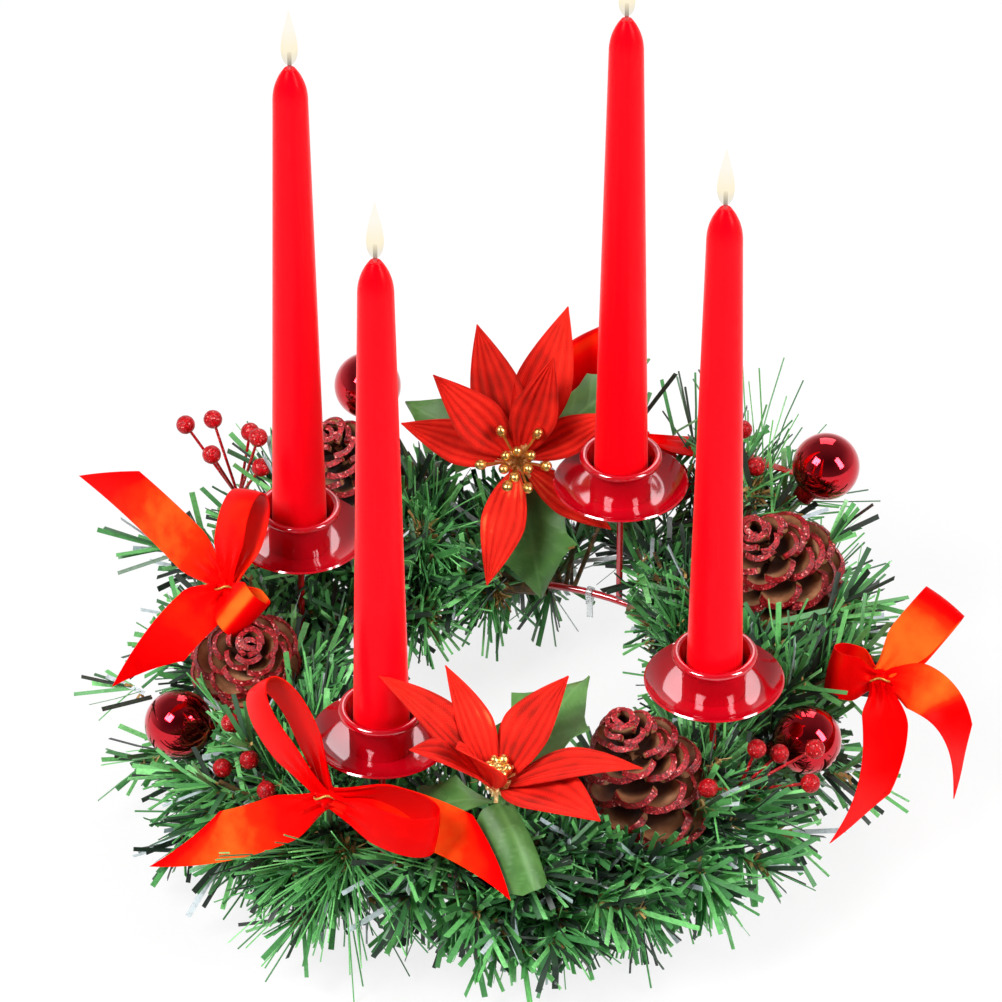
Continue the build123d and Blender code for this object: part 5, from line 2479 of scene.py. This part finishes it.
@dataclass
class BerrySpray:
    """Glitter berries on their wires."""

    name: str
    places: tuple[Reach, ...]
    width: float = 7.5
    grain: float = 0.015
    grain_limit: float = 1.5
    view_clear: float = 0.5
    view_length: float = 16.0

    def reserve(self, room: Room) -> None:
        """Keep needles out of the berries and from before them."""
        for place in self.places:
            room.shield(around(*place), self.width / 2 + self.view_clear, self.view_length)

    def build(self, palette: Palette) -> None:
        """Set a grainy bead at each place.

        Args:
            palette: The materials.
        """
        points, faces = ball_blank(11, 2)
        rng = np.random.default_rng(SEED + len(self.name))
        grains = rng.normal(0, 1, len(points)).clip(-self.grain_limit, self.grain_limit)
        points = points * (1.0 + self.grain * grains)[:, None]
        middle = np.array([around(*place) for place in self.places])
        count = len(middle)
        way = unit(rng.normal(0, 1, (count, 3)))
        frames = np.stack((*across_of(way), way), axis=1)
        sizes = np.full((count, 3), self.width)
        beads = copies((points, faces), middle, frames, sizes, np.zeros(count))
        piece = make_piece(f"beads_{self.name}", *beads, [palette.berry], smooth=True)
        settle(piece, "berry_glitter", f"berries_{self.name}")


# studio


@dataclass
class Studio:
    """Camera at the photograph's angle, pale floor and soft lights."""

    aim: Reach = (-1.2, 0.0, 147.4)
    distance: float = 2600.0
    lens: float = 242.9
    sensor: float = 36.0
    clip: Span = (0.05, 50.0)
    sky_rise: Span = (0.02, 0.75)
    horizon: float = 0.66
    zenith: float = 0.22
    sky_depth: Span = (-0.75, 0.35)
    viewer_side: float = 0.28
    floor_size: float = 16.0
    floor_tone: Colour = (0.92, 0.92, 0.92)
    floor_rough: float = 0.9
    floor_white: float = 0.82
    lamp_aim: Reach = (0.0, 0.0, 80.0)
    lamps: tuple[tuple[str, Reach, Span, float], ...] = (
        ("key", (-900.0, -700.0, 1300.0), (680.0, 680.0), 30.0),
        ("strip", (1000.0, -500.0, 800.0), (360.0, 800.0), 14.0),
        ("rim", (200.0, 1100.0, 1100.0), (800.0, 800.0), 6.0),
    )

    def build(self) -> None:
        """Set up the camera, the floor, the lamps and the world."""
        scene = bpy.context.scene
        scene.view_settings.view_transform = "Standard"
        self.camera(scene)
        self.floor()
        for lamp in self.lamps:
            self.lamp(*lamp)
        self.world(scene)

    def camera(self, scene: bpy.types.Scene) -> None:
        """Aim the camera.

        Args:
            scene: The scene.
        """
        camera = add_object("camera", bpy.data.cameras.new("camera"))
        scene.camera = camera
        camera.data.sensor_width = self.sensor
        camera.data.lens = self.lens
        back = Vector(TO_VIEWER)
        camera.location = (Vector(self.aim) + back * self.distance) * MM
        camera.rotation_euler = (-back).to_track_quat("-Z", "Y").to_euler()
        camera.data.clip_start, camera.data.clip_end = self.clip

    def lamp(self, name: str, place: Reach, size: Span, power: float) -> None:
        """A soft light aimed at the wreath.

        Args:
            name: Its name.
            place: Where it is.
            size: Its width and height.
            power: Its power in watts.
        """
        data = bpy.data.lights.new(name, "AREA")
        data.shape = "RECTANGLE"
        data.size, data.size_y = (side * MM for side in size)
        data.energy = power
        lamp = add_object(name, data)
        lamp.location = Vector(place) * MM
        way = Vector(self.lamp_aim) - Vector(place)
        lamp.rotation_euler = way.to_track_quat("-Z", "Y").to_euler()

    def floor(self) -> None:
        """A wide pale floor that keeps the shadow."""
        deselect()
        bpy.ops.mesh.primitive_grid_add(x_subdivisions=2, y_subdivisions=2, size=self.floor_size)
        floor = bpy.context.object
        floor.name = floor.data.name = "floor"
        shade = Shade("pale_floor")
        shade.fix(base_color=(*self.floor_tone, 1.0), roughness=self.floor_rough)
        glow, mixed, path = (shade.node(kind) for kind in ("Emission", "MixShader", "LightPath"))
        seen = shade.math("MAXIMUM", path.outputs["Is Camera Ray"], path.outputs["Is Glossy Ray"])
        seen = shade.math("MAXIMUM", seen, path.outputs["Is Transmission Ray"])
        shade.join(shade.math("MULTIPLY", seen, self.floor_white), mixed.inputs["Fac"])
        shade.join(shade.surface.outputs["BSDF"], mixed.inputs[1])
        shade.join(glow.outputs["Emission"], mixed.inputs[2])
        shade.join(mixed.outputs["Shader"], shade.tree.nodes["Material Output"].inputs["Surface"])
        floor.data.materials.append(shade.material)
        floor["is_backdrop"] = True

    def world(self, scene: bpy.types.Scene) -> None:
        """A sky that is white behind the wreath and dim overhead and behind the viewer.

        Args:
            scene: The scene.
        """
        world = bpy.data.worlds.new("studio")
        scene.world = world
        world.use_nodes = True
        tree = world.node_tree
        back = tree.nodes["Background"]
        parts = tree.nodes.new("ShaderNodeSeparateXYZ")
        where = tree.nodes.new("ShaderNodeTexCoord")
        tree.links.new(where.outputs["Generated"], parts.inputs["Vector"])
        product = tree.nodes.new("ShaderNodeMath")
        product.operation = "MULTIPLY"
        fades = (
            ("Z", *self.sky_rise, self.horizon, self.zenith),
            ("Y", *self.sky_depth, self.viewer_side, 1.0),
        )
        for socket, (axis, *numbers) in zip(product.inputs, fades):
            fade = tree.nodes.new("ShaderNodeMapRange")
            fade.interpolation_type = "SMOOTHSTEP"
            for key, number in zip(RANGE_KEYS, numbers):
                fade.inputs[key].default_value = number
            tree.links.new(parts.outputs[axis], fade.inputs["Value"])
            tree.links.new(fade.outputs["Result"], socket)
        back.inputs["Color"].default_value = (1.0, 1.0, 1.0, 1.0)
        tree.links.new(product.outputs["Value"], back.inputs["Strength"])


# where each ornament is

BAUBLES = (
    Bauble("left", (184.0, 35.0, 8.0), 184.0),
    Bauble("back", (112.8, 49.0, 71.0), 98.0),
    Bauble("right", (34.0, 62.0, 63.0), 36.0),
    Bauble("front", (-15.0, 29.0, 18.0), -15.0),
)
CONES = (
    PineCone("left", (180.0, 7.5, 34.0), (0.05, -0.62, 0.78)),
    PineCone("back", (119.5, 34.0, 46.0), (-0.35, -0.25, 0.90)),
    PineCone("right", (28.0, 28.0, 39.0), (-0.32, -0.38, 0.87), 1.08),
    PineCone("front", (-56.0, -3.5, 42.0), (-0.22, -0.19, 0.96), 1.06),
)
FLOWERS = (
    Flower(
        "back", (86.6, 0.0, 61.0), 53.0,
        (
            Blade(106.6, 4.0, 54.0, 21.0),
            Blade(72.0, 2.0, 62.0, 23.0),
            Blade(134.6, 24.0, 48.0, 20.0),
            Blade(71.0, 30.0, 45.0, 19.0),
            Blade(162.0, 6.0, 46.0, 18.0),
            Blade(256.0, 5.0, 48.0, 18.0),
            Blade(324.0, -12.0, 45.0, 15.0),
            Blade(26.5, -6.0, 40.0, 16.0),
        ),
        (
            Blade(152.0, -14.0, 54.0, 32.0),
            Blade(280.0, -8.0, 57.0, 40.0),
            Blade(38.0, -4.0, 68.0, 24.0),
        ),
        (46.0, 70.0), (19.0, 14.0),
    ),
    Flower(
        "front", (-91.5, 13.5, 56.0), 0.0,
        (
            Blade(160.0, 46.0, 60.0, 20.0),
            Blade(123.7, 52.0, 47.0, 15.0),
            Blade(45.0, 45.0, 47.0, 22.0),
            Blade(347.0, 24.0, 56.0, 20.0),
            Blade(318.0, 16.0, 50.0, 27.0),
            Blade(208.0, 44.0, 46.0, 25.0),
            Blade(226.0, 60.0, 36.0, 24.0),
        ),
        (
            Blade(54.5, 25.0, 64.0, 40.0),
            Blade(300.5, -34.0, 36.0, 30.0, 0.05, 95.0),
            Blade(168.0, -15.0, 50.0, 26.0),
        ),
        (66.0, 80.0), (9.0, 7.0),
    ),
)
BOWS = (
    Bow(
        "left", (176.3, 15.2, 63.0),
        (Loop((9.0, 24.0, 29.0), 5.5, 52.0), Loop((9.0, -14.0, -5.0), 6.0, -20.0)),
        (
            Tail((-58.0, 70.0, 13.0), (0.0, 0.0, 3.0), (24.0, 28.0), -0.32),
            Tail((-36.0, -36.0, -26.0), (-2.0, 0.0, 4.0), (0.0, 20.0), 0.40),
        ),
    ),
    Bow(
        "front_left", (239.6, 38.4, 56.0),
        (Loop((-25.0, 26.0, 34.0), 7.5, 60.0), Loop((41.0, -15.0, -5.0), 8.0, -42.0)),
        (
            Tail((-68.0, 22.0, -40.0), (0.0, -4.0, -3.0), (10.0, -10.0), -0.42),
            Tail((75.0, -16.0, -28.0), (4.0, 4.0, 3.0), (-10.0, 12.0), 0.38),
        ),
    ),
    Bow(
        "right", (-3.0, 53.5, 29.0),
        (Loop((27.0, 29.0, 16.0), 6.0, 8.0), Loop((-19.0, 4.0, 3.0), 6.0, 24.0)),
        (
            Tail((-20.0, -84.0, -21.0), (9.0, 0.0, 2.0), (14.0, 56.0), 0.42),
            Tail((31.0, -54.0, -21.0), (10.0, 12.0, 7.0), (0.0, 62.0), 0.40),
        ),
    ),
    Bow(
        "back", (65.0, 37.5, 53.0),
        (Loop((-25.0, 20.0, 36.0), 6.0, 20.0), Loop((16.0, -10.0, -24.0), 6.0)),
        (
            Tail((79.0, -27.0, -5.0), (0.0, 0.0, 4.0), (64.0, 86.0), 0.40),
            Tail((-34.0, 8.0, 20.0), (0.0, 0.0, 2.0), (0.0, 8.0), 0.30),
        ),
        keep_off=4.0, painted_light_facing=(0.90, 1.04),
    ),
)
SPRAYS = (
    BerrySpray(
        "left",
        (
            (140.8, 71.5, 71.0), (138.0, 63.8, 73.0), (143.0, 53.0, 68.0),
            (135.7, 48.8, 71.0), (139.2, 36.0, 79.0), (138.4, 36.6, 63.0),
        ),
    ),
    BerrySpray(
        "front_left",
        ((203.6, 22.0, 38.0), (212.5, 23.0, 33.0), (219.5, 25.0, 28.0), (209.0, 31.0, 27.0)),
    ),
    BerrySpray(
        "front_right",
        (
            (-32.6, 22.0, 38.0), (-29.0, 28.0, 33.0), (-27.0, 41.0, 37.0),
            (-31.0, 44.0, 28.0), (-47.0, 21.0, 36.0),
        ),
    ),
    BerrySpray("back_right", ((40.7, 39.6, 63.0), (47.6, 49.0, 68.0))),
)
TUFTS = (
    LongNeedleTuft("front_left", (238.0, 20.0, 15.0), (-0.25, -0.75, 0.1)),
    LongNeedleTuft("back_right", (41.0, 40.0, 48.0), (0.05, 0.35, 0.9), 110),
    LongNeedleTuft(
        "back_left_inner", (112.0, -6.0, 34.0), (-0.05, -0.75, 0.35), 80, (22.0, 36.0)
    ),
    LongNeedleTuft(
        "hole_left", (117.5, -22.0, 8.0), (1.0, -0.25, 0.05), 75, (17.0, 29.0), 0.85, 0.60
    ),
    LongNeedleTuft(
        "hole_right", (39.3, -9.0, 8.0), (-1.0, -0.10, 0.10), 75, (18.0, 30.0), 0.85, 0.60
    ),
    LongNeedleTuft(
        "hole_back", (93.0, -10.0, 3.0), (0.25, -0.85, 0.10), 70, (14.0, 28.0), 0.80, 0.75
    ),
)


def main() -> None:
    """Build the wreath and note how its box compares with the solids' box."""
    logging.basicConfig(level=logging.INFO, format="%(name)s %(message)s")
    Studio().build()
    palette = Palette()
    room = Room()
    stand = CandleStand()
    ornaments = (*BAUBLES, *CONES, *FLOWERS, *BOWS, *SPRAYS)
    for piece in (stand, *ornaments):
        piece.reserve(room)
    stand.build(palette)
    for ornament in ornaments:
        ornament.build(palette)
    Garland().build(palette, room)
    for tuft in TUFTS:
        tuft.build(palette, room)
    sizes = {"cad": [list(corner) for corner in CAD_BOX], "visual": [list(corner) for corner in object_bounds()]}
    for key, (low, high) in sizes.items():
        log.info("%s box: %s to %s", key, [round(x, 4) for x in low], [round(x, 4) for x in high])


if __name__ == "__main__":
    main()
